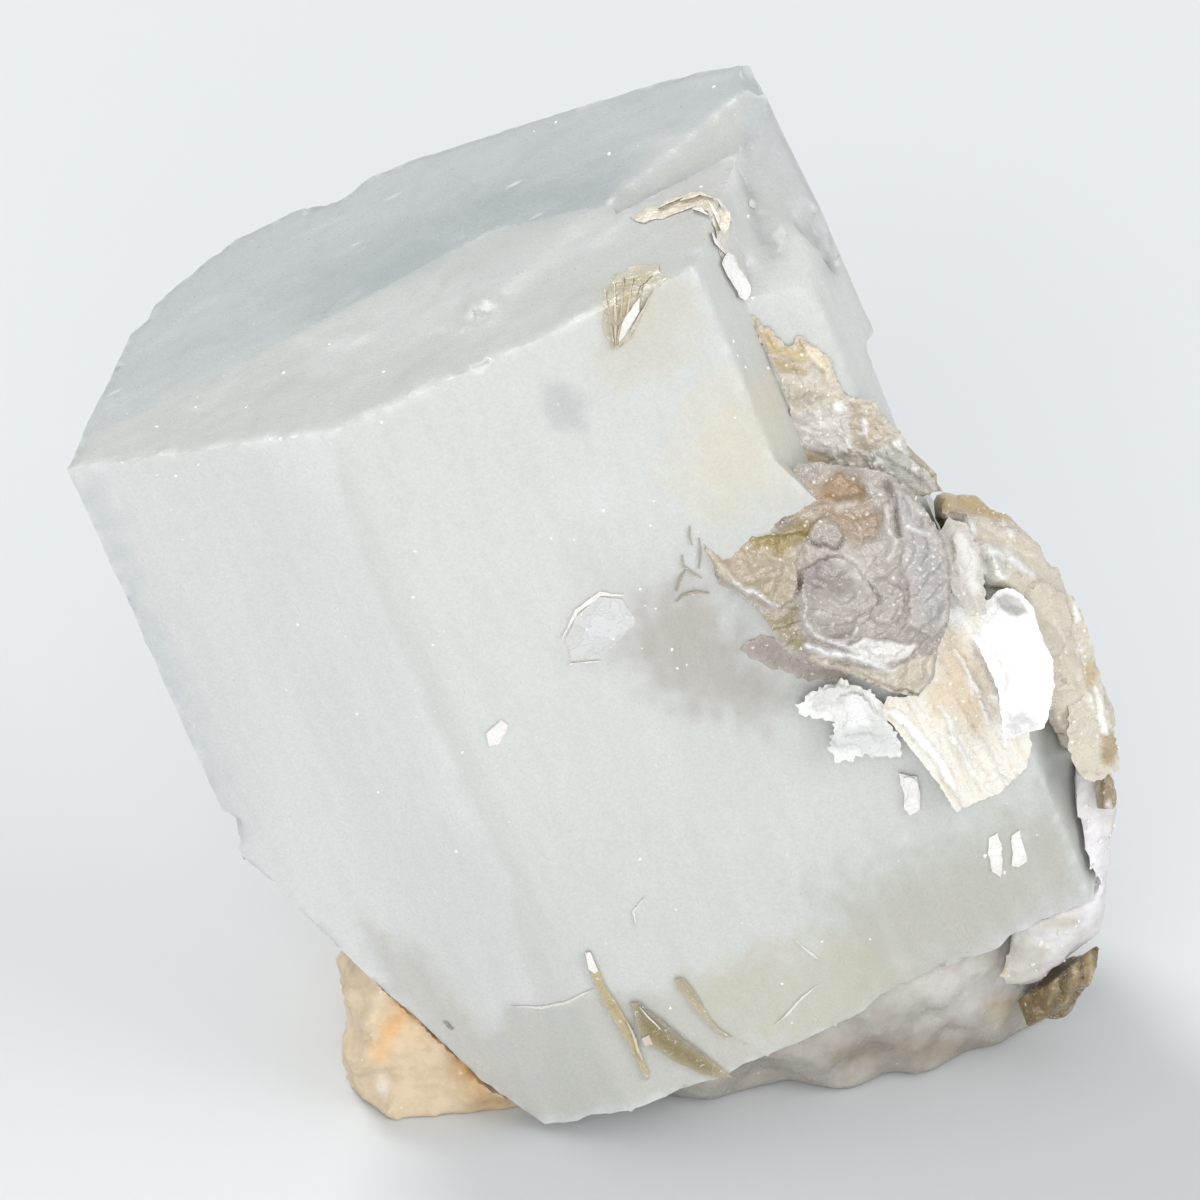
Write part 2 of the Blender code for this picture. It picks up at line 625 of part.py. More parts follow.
def striated_fan():
    """A thick book that opens downwards from a hinge: its sheet edges stand as radiating ridges."""
    hinge = (23.6, 4.5)
    front = [
        (22.4, 0.4, -10.0), (24.6, 0.4, -10.8), (19.4, -7.0, -9.9), (20.4, -9.6, -11.6),
        (21.8, -12.0, -13.4), (23.7, -14.0, -15.0), (25.2, -13.2, -15.0), (26.8, -12.4, -15.0),
        (28.2, -11.3, -15.0), (28.5, -9.6, -14.2),
    ]
    back = [(right, up, depth - 4.5) for right, up, depth in front]
    made = lump("mica_striated_fan", front + back, 0.85, 0.1, 5, SIGHT, FINISH["mica"])
    for vert in made.data.vertices:
        right = vert.co.x / MM - hinge[0]
        up = vert.co.y / MM - hinge[1]
        angle = math.atan2(right, -up)
        vert.co.z += 0.32 * math.sin(angle * 34.0) * MM
        vert.co.y += 0.28 * math.sin(angle * 21.0) * MM
    return made


def gold_cluster():
    core = book(
        "mica_gold_cluster", GOLD_CORE, depth=-3.4, facing=(0.24, -0.40, 1), thickness=3.6, sheets=3,
        seed=15, taper=0.2,
    )
    spots = [
        (11.8, 16.6, -1.6, 1.6, (-0.4, 0.2, 1)), (13.8, 16.0, -2.4, 1.5, (0.5, 0.3, 1)),
        (12.6, 14.0, -2.2, 1.5, (-0.2, -0.5, 1)), (14.6, 12.2, -3.2, 1.8, (0.2, 0.5, 1)),
        (16.8, 11.4, -4.0, 1.5, (0.6, 0.1, 1)), (18.6, 10.2, -5.0, 1.5, (0.1, -0.5, 1)),
    ]
    return flakes("mica_gold_cluster", core, spots, 16)


def crest():
    """An arc of mica on the basal face, with a leg that runs down the set-back face."""
    arc = book(
        "mica_crest", CREST_ARC, depth=1.3, facing=(0, 0, 1), thickness=3.0, sheets=3, seed=21,
        fray=0.2, taper=0.0,
    )
    leg = book(
        "crest_leg", CREST_LEG, depth=face_depth(8.7, 22.0, SHOULDER_FRONT) + 1.0, facing=FRONT_LOOKS,
        thickness=2.4, sheets=3, seed=23, fray=0.2, taper=0.1, finish=None,
    )
    return combine(arc, leg, "UNION")


def brown_lump():
    upper = book(
        "mica_brown_lump", BROWN_UPPER, depth=-25.6, facing=(0.5, 0.35, 1), thickness=5.6, sheets=5,
        seed=17, fray=0.6, taper=0.45, finish="brown_mica",
    )
    lower = book(
        "brown_lump_lower", BROWN_LOWER, depth=-28.6, facing=(-0.3, -0.2, 1), thickness=4.2, sheets=4,
        seed=18, taper=0.45, finish=None,
    )
    return combine(upper, lower, "UNION")


def silver_plate():
    return book(
        "mica_silver_plate", SILVER_PLATE, depth=-10.6, facing=(0.05, 0.12, 1), thickness=1.8, sheets=3,
        seed=11, fray=0.3, taper=0.08,
    )


def main_book():
    return book(
        "mica_main_book", MAIN_BOOK, depth=-3.4, facing=(-0.05, -0.12, 1), thickness=8.4, sheets=8,
        seed=12, fray=0.7, taper=0.24,
    )


def white_fan():
    return book(
        "mica_white_fan", WHITE_FAN, depth=-9.4, facing=(0.22, -0.40, 1), thickness=3.0, sheets=4,
        seed=13, taper=0.2,
    )


def edge_book():
    return book(
        "mica_edge_book", EDGE_BOOK, depth=-18.6, facing=(0.6, 0.0, 1), thickness=2.4, sheets=3,
        seed=20, fray=0.3, finish="brown_mica",
    )


def top_spray():
    across, up = middle(TOP_SPRAY)
    return book(
        "mica_top_spray", TOP_SPRAY, depth=face_depth(across, up) + 0.9, facing=FRONT_LOOKS,
        thickness=1.6, sheets=3, seed=22,
    )


def blade(name, outline):
    """A thin book seen on its edge, standing a little proud of the front faces."""
    across, up = middle(outline)
    return book(
        name, outline, depth=face_depth(across, up) + BLADE_PROUD, facing=FRONT_LOOKS, thickness=2.2,
        sheets=1, seed=19, fray=0.1, taper=0.0, finish="brown_mica",
    )


def micas():
    """Every mica grain, each kept clear of the stones and of the grains made before it."""
    rooms = [room_of(bpy.data.objects[name]) for name in ("albite", "quartz")]
    makers = [
        silver_plate, main_book, white_fan, striated_fan, gold_cluster, golden_shell, edge_book, brown_lump,
        crest, top_spray,
    ]
    for maker in makers:
        rooms.append(room_of(clear_of(maker(), rooms)))
    for name, outline in BLADES.items():
        rooms.append(room_of(clear_of(blade(name, outline), rooms)))


def centre_over_origin():
    """Moves the whole specimen so that the middle of its outline stands over the origin."""
    bpy.context.view_layer.update()
    vertices = [piece.matrix_world @ vert.co for piece in SPECIMEN.objects if piece.type == "MESH"
                for vert in piece.data.vertices]
    for axis in (0, 1):
        low = min(vertex[axis] for vertex in vertices)
        high = max(vertex[axis] for vertex in vertices)
        ROOT.location[axis] -= (low + high) / 2
    bpy.context.view_layer.update()


clear_scene()
SPECIMEN = collection("aquamarine_on_feldspar")
CUTTERS = collection("cutters")
FINISH = {
    "aquamarine": material("pale aquamarine", (0.78, 0.86, 0.85), 0.2, 0.4),
    "feldspar": material("peach feldspar", (0.78, 0.62, 0.42), 0.6),
    "quartz": material("grey quartz", (0.42, 0.39, 0.33), 0.45),
    "albite": material("white albite", (0.8, 0.77, 0.73), 0.55),
    "mica": material("silvery mica", (0.72, 0.67, 0.58), 0.3),
    "brown_mica": material("brown mica", (0.3, 0.22, 0.12), 0.35),
}
ROOT = empty("specimen_root", (0, 0, 0), (0, 0, 0))
CRYSTAL_AXES = empty("crystal_axes", CRYSTAL_FOOT, CRYSTAL_TURN, ROOT)
SIGHT = empty("outline_frame", SIGHT_ORIGIN, (90 - SIGHT_ELEVATION, 0, 0), ROOT)
bpy.context.view_layer.update()
POCKET = crystal_body("crystal_pocket", GAP)
crystal()
feldspar()
quartz()
albite()
micas()
centre_over_origin()
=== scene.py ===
"""Aquamarine on feldspar specimen: the beryl crystal, the stones it grew on, its mica, and a plain studio.

Each group of pieces has an operator, which reads some of the sizes and colours from the property groups and
works over the CAD frame.  Lengths inside the functions are millimetres; the meshes are in metres."""

import math
import random

import bmesh
import bpy
from bpy.props import FloatProperty, FloatVectorProperty, PointerProperty
from mathutils import Euler, Matrix, Vector, noise
from mathutils.bvhtree import BVHTree
from mathutils.geometry import delaunay_2d_cdt


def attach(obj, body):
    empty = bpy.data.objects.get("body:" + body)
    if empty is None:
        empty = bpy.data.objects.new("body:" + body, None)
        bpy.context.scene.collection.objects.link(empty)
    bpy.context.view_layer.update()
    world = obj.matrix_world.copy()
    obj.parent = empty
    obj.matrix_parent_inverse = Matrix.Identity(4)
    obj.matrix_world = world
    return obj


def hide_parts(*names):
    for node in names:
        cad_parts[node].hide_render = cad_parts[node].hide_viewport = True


bl_info = {
    "name": "Aquamarine on feldspar specimen",
    "version": (1, 0, 0),
    "blender": (4, 5, 0),
    "location": "3D View > Sidebar > Specimen",
    "description": "Builds a leaning aquamarine crystal with mica books on its feldspar and quartz matrix",
    "category": "Object",
}

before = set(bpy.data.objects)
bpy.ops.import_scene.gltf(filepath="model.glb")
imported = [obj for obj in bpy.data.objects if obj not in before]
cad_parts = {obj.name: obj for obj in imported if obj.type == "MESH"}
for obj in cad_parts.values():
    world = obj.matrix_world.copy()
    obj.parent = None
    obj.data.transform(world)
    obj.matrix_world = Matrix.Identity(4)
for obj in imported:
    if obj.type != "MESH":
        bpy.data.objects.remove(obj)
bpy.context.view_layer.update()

MM = 0.001

# ---- the two axes systems that the pieces are drawn in, in millimetres and degrees ----
CRYSTAL_FOOT = (7.62, -0.535, 5.3)
CRYSTAL_TURN = (-2.9, -19.85, 14.3)
SIGHT_ORIGIN = (0.02, -17.135, 42.8)    # mica is drawn as a viewer 30 degrees above level sees it
SIGHT_ELEVATION = 30.0


def axes_at(origin, turn):
    """The matrix from an axes system in millimetres to the frame in metres."""
    spin = Euler([math.radians(value) for value in turn]).to_matrix().to_4x4()
    return Matrix.Translation(Vector(origin) * MM) @ spin @ Matrix.Scale(MM, 4)


CRYSTAL = axes_at(CRYSTAL_FOOT, CRYSTAL_TURN)
SIGHT = axes_at(SIGHT_ORIGIN, (90 - SIGHT_ELEVATION, 0, 0))


# ---- sizes and colours a user would change ----

def length(name, description, default_mm):
    return FloatProperty(name=name, description=description, default=default_mm * MM, min=0.0, unit="LENGTH",
                         precision=5)


def colour(name, description, default):
    return FloatVectorProperty(name=name, description=description, default=default, size=3, min=0.0, max=1.0,
                               subtype="COLOR")


def share(name, description, default):
    return FloatProperty(name=name, description=description, default=default, min=0.0, max=1.0,
                         subtype="FACTOR")


class SPECIMEN_PG_crystal(bpy.types.PropertyGroup):
    """The beryl crystal."""
    striation: length("Striation depth", "Depth of the fine grooves along the prism", 0.010)
    plates: length("Growth plates", "Height of the low plates on the faces", 0.05)
    edge_wear: length("Edge wear", "How far the edges are nibbled back", 0.16)
    body: colour("Body", "Milky pale blue-green of the prism faces", (0.88, 0.87, 0.85))
    # the basal face's tone, painted darker than the prism faces as shade
    top_painted_shade: colour("Top, back band", "The darker, clearer part of the top face", (0.61, 0.635, 0.64))
    tint: colour("Absorption", "What white light becomes inside the crystal", (0.86, 0.94, 0.95))
    clarity: share("Clarity", "Share of the light that passes through", 0.22)
    frost: share("Frost", "Roughness of the faces", 0.34)


class SPECIMEN_PG_matrix(bpy.types.PropertyGroup):
    """The stones under and beside the crystal."""
    cell: length("Grain cell", "Size of the mesh cells on the stones", 0.42)
    feldspar: colour("Feldspar", "Peach colour of the feldspar", (0.72, 0.575, 0.40))
    feldspar_stain: colour("Feldspar stain", "Rusty stain along the contact", (0.80, 0.42, 0.14))
    quartz: colour("Quartz", "Grey-brown of the quartz", (0.50, 0.465, 0.415))
    albite: colour("Albite", "White of the albite", (0.76, 0.74, 0.735))


class SPECIMEN_PG_mica(bpy.types.PropertyGroup):
    """The books, plates and flakes of mica."""
    leaf: length("Leaf", "Thickness of one loose leaf", 0.16)
    grain: length("Grain", "Width of the sugary grains and flecks", 0.34)


class SPECIMEN_PG_studio(bpy.types.PropertyGroup):
    """The floor, the lights and the camera."""
    view_width: length("View width", "Width of the view at the crystal", 78.0)
    lens: FloatProperty(name="Lens", description="Focal length of the camera in millimetres", default=350.0,
                        min=35.0)
    floor: colour("Floor", "Colour of the floor", (0.722, 0.74, 0.752))
    sky: FloatProperty(name="Sky", description="Strength of the even light from all round", default=0.58,
                       min=0.0)
    key: FloatProperty(name="Key", description="Strength of the light from above left", default=1.25, min=0.0)
    front: FloatProperty(name="Front", description="Strength of the low light from the front", default=1.45,
                         min=0.0)


# ---- meshes ----

def merged_copy(node):
    """A bmesh of a CAD node with its loose triangles joined."""
    bm = bmesh.new()
    bm.from_mesh(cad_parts[node].data)
    bmesh.ops.remove_doubles(bm, verts=bm.verts, dist=0.001 * MM)
    return bm


def object_of(name, mesh, finishes=()):
    made = bpy.data.objects.new(name, mesh)
    bpy.context.scene.collection.objects.link(made)
    for finish in finishes:
        mesh.materials.append(finish)
    return made


def mesh_of(name, bm):
    mesh = bpy.data.meshes.new(name)
    bm.to_mesh(mesh)
    bm.free()
    return mesh


def evaluated(carrier, name):
    """The carrier's mesh with its modifiers applied, as a plain mesh; the carrier is removed."""
    graph = bpy.context.evaluated_depsgraph_get()
    mesh = bpy.data.meshes.new_from_object(carrier.evaluated_get(graph))
    mesh.name = name
    carrier.modifiers.clear()
    bpy.data.objects.remove(carrier)
    return mesh


def remeshed(node, mode, size):
    """A CAD node's shape in even cells: SHARP keeps its edges and takes an octree depth, VOXEL a size."""
    carrier = object_of(node + "_cells", mesh_of(node + "_cells", merged_copy(node)))
    cells = carrier.modifiers.new("cells", "REMESH")
    cells.mode = mode
    if mode == "SHARP":
        cells.octree_depth = size
        cells.scale = 0.95
        cells.use_remove_disconnected = False
    else:
        cells.voxel_size = size
    bm = bmesh.new()
    bm.from_mesh(evaluated(carrier, node + "_cells"))
    return bm


def closed_up(bm):
    """Re-covers the places where two corners of a remeshed shape touch along an edge."""
    for _ in range(6):
        pinched = [edge for edge in bm.edges if len(edge.link_faces) != 2]
        if not pinched:
            return
        around = {face for edge in pinched for vert in edge.verts for face in vert.link_faces}
        bmesh.ops.delete(bm, geom=list(around), context="FACES")
        bmesh.ops.holes_fill(bm, edges=[edge for edge in bm.edges if len(edge.link_faces) == 1], sides=0)
    raise RuntimeError("the remeshed shape could not be closed")


def eased(bm, verts, times):
    for _ in range(times):
        bmesh.ops.smooth_vert(bm, verts=verts, factor=0.5, use_axis_x=True, use_axis_y=True,
                              use_axis_z=True)


def moved(bm, moves):
    for vert, move in zip(bm.verts, moves):
        vert.co += move


def finish_piece(made, nodes, smooth_deg):
    """Smooths all but the edges sharper than smooth_deg, and hands the piece to the frame."""
    made.data.shade_smooth()
    made.data.set_sharp_from_angle(angle=math.radians(smooth_deg))
    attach(made, "root")
    if nodes:
        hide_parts(*nodes)
    return made


def fog(place, scale, seed=0.0):
    """Smooth noise from -1 to 1 at a place in millimetres, with features of about 1 / scale."""
    return noise.noise(Vector(place) * scale + Vector((seed, seed * 0.7, -seed)))


def smooth_step(value, low, high):
    t = min(1.0, max(0.0, (value - low) / (high - low)))
    return t * t * (3 - 2 * t)


# ---- materials ----

def add(tree, kind, inputs=None, **settings):
    """A node with its settings, and with each input set to a value or linked from a socket."""
    made = tree.nodes.new(kind)
    for name, value in settings.items():
        setattr(made, name, value)
    for name, value in (inputs or {}).items():
        if isinstance(value, bpy.types.NodeSocket):
            tree.links.new(value, made.inputs[name])
        else:
            made.inputs[name].default_value = value
    return made


def maths(tree, operation, first, second=0.5):
    return add(tree, "ShaderNodeMath", {0: first, 1: second}, operation=operation).outputs[0]


def tinted(tree, colour, factors):
    return add(tree, "ShaderNodeVectorMath", {0: colour, 1: factors}, operation="MULTIPLY").outputs[0]


def blend(tree, amount, below, above):
    """The colour below, covered by the colour above by the amount."""
    made = add(tree, "ShaderNodeMix", {0: amount, 6: below, 7: above}, data_type="RGBA")
    return made.outputs[2]


def ramp(tree, value, low, high, start=0.0, end=1.0):
    made = add(tree, "ShaderNodeMapRange", {0: value, 1: low, 2: high, 3: start, 4: end})
    made.interpolation_type = "SMOOTHSTEP"
    return made.outputs[0]


def noise_value(tree, place, scale, detail=2.0, rough=0.5):
    made = add(tree, "ShaderNodeTexNoise",
               {"Vector": place, "Scale": scale, "Detail": detail, "Roughness": rough})
    return made.outputs[0]


def rgba(value):
    return (*value, 1.0)


def place_in(tree, axes):
    """Object coordinates turned into the millimetres of an axes system."""
    inverse = axes.inverted()
    coordinates = add(tree, "ShaderNodeTexCoord").outputs["Object"]
    mapping = add(tree, "ShaderNodeMapping", {
        "Vector": coordinates,
        "Scale": (1 / MM, 1 / MM, 1 / MM),
        "Rotation": inverse.to_euler(),
        "Location": inverse.translation,
    })
    return mapping.outputs[0]


def stretched(tree, place, scale):
    return add(tree, "ShaderNodeMapping", {"Vector": place, "Scale": scale}).outputs[0]


def new_group(name, inputs, outputs):
    """A shader node group with named sockets: inputs are (name, type, default)."""
    group = bpy.data.node_groups.new(name, "ShaderNodeTree")
    for socket_name, kind, default in inputs:
        socket = group.interface.new_socket(socket_name, in_out="INPUT", socket_type=kind)
        if default is not None:
            socket.default_value = default
    for socket_name, kind in outputs:
        group.interface.new_socket(socket_name, in_out="OUTPUT", socket_type=kind)
    return group, add(group, "NodeGroupInput"), add(group, "NodeGroupOutput")


def group_for(name, make):
    return bpy.data.node_groups.get(name) or make(name)


def make_sheet_edges(name):
    """Cleavage sheets that end one behind another: a tone for each, its thin rim for a painted highlight, and
    its step.
    """
    group, given, result = new_group(
        name,
        [
            ("Place", "NodeSocketVector", None), ("Scale", "NodeSocketFloat", 0.3),
            ("Count", "NodeSocketFloat", 9.0), ("Rim Width", "NodeSocketFloat", 0.15),
        ],
        [("Tone", "NodeSocketFloat"), ("Rim", "NodeSocketFloat"), ("Height", "NodeSocketFloat")],
    )
    buckled = noise_value(group, given.outputs[0], given.outputs[1], 4.0, 0.6)
    level = maths(group, "MULTIPLY", buckled, given.outputs[2])
    part = maths(group, "FRACT", level)
    tone = add(group, "ShaderNodeTexWhiteNoise", {"W": maths(group, "FLOOR", level)}, noise_dimensions="1D")
    group.links.new(tone.outputs["Value"], result.inputs["Tone"])
    group.links.new(ramp(group, part, 0.0, given.outputs[3], 1.0, 0.0), result.inputs["Rim"])
    group.links.new(maths(group, "SUBTRACT", ramp(group, part, 0.0, 0.1), part), result.inputs["Height"])
    return group


def sheet_edges(tree, place, scale, count, rim=0.15):
    group = group_for("sheet_edges", make_sheet_edges)
    made = add(tree, "ShaderNodeGroup", {"Place": place, "Scale": scale, "Count": count, "Rim Width": rim},
               node_tree=group)
    return made.outputs["Tone"], made.outputs["Rim"], made.outputs["Height"]


def make_speckle(name):
    """Scattered small spots, as a mask."""
    group, given, result = new_group(
        name,
        [
            ("Place", "NodeSocketVector", None), ("Scale", "NodeSocketFloat", 1.0),
            ("Amount", "NodeSocketFloat", 0.1), ("Size", "NodeSocketFloat", 0.25),
        ],
        [("Mask", "NodeSocketFloat")],
    )
    cells = add(group, "ShaderNodeTexVoronoi", {"Vector": given.outputs[0], "Scale": given.outputs[1]})
    spot = add(group, "ShaderNodeMapRange", {0: cells.outputs["Distance"], 1: given.outputs[3], 2: 0.0})
    chosen = add(group, "ShaderNodeSeparateColor", {0: cells.outputs["Color"]})
    keep = maths(group, "LESS_THAN", chosen.outputs[0], given.outputs[2])
    mask = maths(group, "MULTIPLY", spot.outputs[0], keep)
    group.links.new(mask, result.inputs["Mask"])
    return group


def speckle(tree, place, scale, amount, size):
    made = add(tree, "ShaderNodeGroup", {"Place": place, "Scale": scale, "Amount": amount, "Size": size},
               node_tree=group_for("speckle", make_speckle))
    return made.outputs["Mask"]


def shader_of(name):
    """A new material's tree, its Principled BSDF and its output node."""
    made = bpy.data.materials.new(name)
    made.use_nodes = True
    tree = made.node_tree
    return made, tree, tree.nodes["Principled BSDF"], tree.nodes["Material Output"]


def bump(tree, shader, height, distance_mm, strength=1.0):
    made = add(tree, "ShaderNodeBump", {"Height": height, "Distance": distance_mm * MM, "Strength": strength})
    tree.links.new(made.outputs[0], shader.inputs["Normal"])


BERYL_IOR, FELDSPAR_IOR, MICA_IOR = 1.577, 1.54, 1.59
BERYL_ABSORPTION = 14.0               # per metre
STREAK_TURN = math.radians(-27)       # how far the streaks of the basal face run from level
TOP_EDGE = 57.0                       # height up the crystal above which a point is on the basal face


def aquamarine_finish(settings):
    """Milky beryl: its own painted tint, veils along the prism, fine grain, worn edges painted paler partly
    as a highlight, white flecks, and a band of painted shade on the basal face.
    """
    made, tree, shader, output = shader_of("aquamarine_milky")
    body = place_in(tree, CRYSTAL)
    sight = place_in(tree, SIGHT)
    painted = add(tree, "ShaderNodeAttribute", attribute_name="tint")
    tint, on_top = painted.outputs["Color"], painted.outputs["Alpha"]
    worn = add(tree, "ShaderNodeAttribute", attribute_name="worn").outputs["Fac"]
    veins = noise_value(tree, stretched(tree, body, (1.0, 1.0, 0.16)), 1.1, 3.0, 0.6)
    grain = noise_value(tree, body, 5.0, 2.0, 0.9)
    deeper = tinted(tree, tint, (0.92, 0.94, 0.945))
    base = blend(tree, ramp(tree, veins, 0.35, 0.7, 0.0, 0.45), tint, deeper)
    grainy = tinted(tree, base, (0.90, 0.905, 0.905))
    base = blend(tree, ramp(tree, grain, 0.3, 0.7), base, grainy)
    # a band of painted shade on the back part of the basal face; it ends at a crisp inner line that bends
    # once
    parts = add(tree, "ShaderNodeSeparateXYZ", {0: sight})
    along = maths(tree, "ADD", parts.outputs[0], 7.0)
    line = maths(tree, "ADD", maths(tree, "MINIMUM", maths(tree, "MULTIPLY", along, 0.54),
                                    maths(tree, "MULTIPLY", along, 0.2)), 24.3)
    past = maths(tree, "ADD", maths(tree, "SUBTRACT", parts.outputs[1], line),
                 maths(tree, "MULTIPLY", maths(tree, "SUBTRACT", veins, 0.5), 0.7))
    behind = maths(tree, "MULTIPLY", ramp(tree, past, -0.1, 0.1), ramp(tree, past, 5.5, 0.5, 0.0, 1.0))
    behind = maths(tree, "MULTIPLY", behind, ramp(tree, parts.outputs[0], -25.0, -13.0))
    behind = maths(tree, "MULTIPLY", behind, ramp(tree, parts.outputs[0], 0.5, 4.5, 1.0, 0.0))
    behind = maths(tree, "MULTIPLY", behind, on_top)
    # the band is painted darker, as shade
    shade = tinted(tree, base, (0.85, 0.87, 0.88))
    base = blend(tree, behind, base, shade)
    turned = add(tree, "ShaderNodeMapping", {"Vector": sight, "Rotation": (0, 0, STREAK_TURN)}).outputs[0]
    streaks = speckle(tree, stretched(tree, turned, (0.3, 1.6, 0.5)), 0.9, 0.10, 0.22)
    dots = speckle(tree, stretched(tree, body, (1.0, 1.0, 0.6)), 0.9, 0.10, 0.10)
    flecks = maths(tree, "ADD", maths(tree, "MULTIPLY", streaks, on_top), dots)
    base = blend(tree, flecks, base, (0.93, 0.94, 0.93, 1.0))
    # edges painted paler: partly the whitish chips of wear, partly a painted edge highlight
    base = blend(tree, maths(tree, "MULTIPLY", worn, 0.45), base, (0.93, 0.94, 0.93, 1.0))
    tree.links.new(base, shader.inputs["Base Color"])
    tree.links.new(ramp(tree, veins, 0.3, 0.7, settings.frost - 0.07, settings.frost + 0.1),
                   shader.inputs["Roughness"])
    shader.inputs["Transmission Weight"].default_value = settings.clarity
    shader.inputs["IOR"].default_value = BERYL_IOR
    shader.inputs["Metallic"].default_value = 0.0
    inside = add(tree, "ShaderNodeVolumeAbsorption",
                 {"Color": rgba(settings.tint), "Density": BERYL_ABSORPTION})
    tree.links.new(inside.outputs[0], output.inputs["Volume"])
    bump(tree, shader, grain, 0.04, 0.5)
    return made


def stone_finish(name, *, speck, rough, transmission=0.0, grit=0.12):
    """A broken mineral whose colour is in its own attribute: mottled, with fine grain, and white glints
    painted into its colour.
    """
    made, tree, shader, _ = shader_of(name)
    sight = place_in(tree, SIGHT)
    tint = add(tree, "ShaderNodeAttribute", attribute_name="tint").outputs["Color"]
    mottled = noise_value(tree, sight, 0.8, 5.0, 0.65)
    deeper = tinted(tree, tint, (0.86, 0.83, 0.80))
    base = blend(tree, ramp(tree, mottled, 0.38, 0.68), tint, deeper)
    # painted glints: small white spots standing for light caught by cleavage faces
    glints = speckle(tree, sight, 1.5, speck, 0.25)
    base = blend(tree, maths(tree, "MULTIPLY", glints, 0.7), base, (0.95, 0.93, 0.9, 1.0))
    tree.links.new(base, shader.inputs["Base Color"])
    tree.links.new(ramp(tree, mottled, 0.3, 0.7, rough - 0.12, rough + 0.1), shader.inputs["Roughness"])
    shader.inputs["Transmission Weight"].default_value = transmission
    shader.inputs["IOR"].default_value = FELDSPAR_IOR
    bump(tree, shader, maths(tree, "ADD", noise_value(tree, sight, 2.8, 5.0, 0.7), glints), grit, 0.6)
    return made


# ---- marks on mica: sheets that lie on each other, folds and stains ----

def display(red, green, blue):
    """The linear colour of the 0 to 255 values that a screen shows."""
    return tuple((value / 255) ** 2.2 for value in (red, green, blue))


class Mark:
    """A sheet, fold or stain as seen along the line of sight, with its colour and how far it stands out.

    A sheet and a stain fill an outline, and a fold follows an open line.  Width is that of the sheet's
    step, of the fold, or of the stain's ragged edge; wave is how far a sheet buckles, and curl how far
    its rim turns up."""

    def __init__(self, kind, points, tone, lift=0.0, width=0.12, cover=1.0, curl=0.0, wave=0.0):
        self.kind, self.tone, self.lift, self.width = kind, tone, lift, width
        self.cover, self.curl, self.wave = cover, curl, wave
        ends = points[1:] if kind == "fold" else points[1:] + points[:1]
        self.spans = [(ax, ay, bx - ax, by - ay) for (ax, ay), (bx, by) in zip(points, ends)]
        reach = 3.0 * width + 0.1
        self.low = [min(point[axis] for point in points) - reach for axis in (0, 1)]
        self.high = [max(point[axis] for point in points) + reach for axis in (0, 1)]

    def depth_inside(self, x, y):
        """Distance to the outline, positive inside it; for a fold, minus the distance to its line."""
        nearest, inside = 1e9, False
        for ax, ay, dx, dy in self.spans:
            t = ((x - ax) * dx + (y - ay) * dy) / (dx * dx + dy * dy + 1e-9)
            t = 0.0 if t < 0 else 1.0 if t > 1 else t
            nearest = min(nearest, (x - ax - t * dx) ** 2 + (y - ay - t * dy) ** 2)
            if (ay > y) != (ay + dy > y) and x < dx * (y - ay) / dy + ax:
                inside = not inside
        gap = math.sqrt(nearest)
        return gap if inside and self.kind != "fold" else -gap

    def applied(self, x, y, height, tone, number):
        if not (self.low[0] < x < self.high[0] and self.low[1] < y < self.high[1]):
            return height, tone
        depth = self.depth_inside(x, y)
        if self.kind == "fold":
            share = math.exp(-(depth / self.width) ** 2)
            return height + self.lift * share, mixed(tone, self.tone, share * self.cover)
        if self.kind == "stain":
            share = smooth_step(depth + 0.8 * self.width * fog((x, y, number), 1.1), -self.width, self.width)
            return height + self.lift * share, mixed(tone, self.tone, share * self.cover)
        share = smooth_step(depth, 0.0, self.width)
        if share <= 0.0:
            return height, tone
        # the sheet's rim is painted lighter, as a painted highlight
        rim = math.exp(-(depth / (1.6 * self.width)) ** 2) * share
        buckle = (self.wave * fog((x, y, 3.1 * number), 0.38)
                  + 0.4 * self.wave * fog((x, y, 1.7 * number), 1.1))
        height += share * (self.lift + buckle) + self.curl * math.exp(-(depth / 0.45) ** 2) * share
        return height, mixed(mixed(tone, self.tone, share * self.cover), PALE_TONE_AND_RIM_HIGHLIGHT, 0.30 * rim)


# a pale tone for lighter sheets, and the painted highlight along the rims of sheets and leaves
PALE_TONE_AND_RIM_HIGHLIGHT = display(236, 226, 210)


def mixed(below, above, share):
    return tuple(one + (two - one) * share for one, two in zip(below, above))


def sheet(points, tone, lift, **more):
    return Mark("sheet", points, tone, 0.6 * lift, **{"width": 0.2, **more})


def fold(points, tone, lift, width=0.14, cover=0.8, **more):
    return Mark("fold", points, tone, lift, width=width, cover=cover, **more)


# a patch of colour over an outline: real stains, and also painted light and shade where the marks say so
def stain(points, tone, cover=0.8, width=0.5, **more):
    return Mark("stain", points, tone, cover=cover, width=width, **more)


def oval(right, up, wide, high):
    """A twelve-sided outline round a place."""
    return [(right + wide * math.cos(turn * math.pi / 6), up + high * math.sin(turn * math.pi / 6))
            for turn in range(12)]


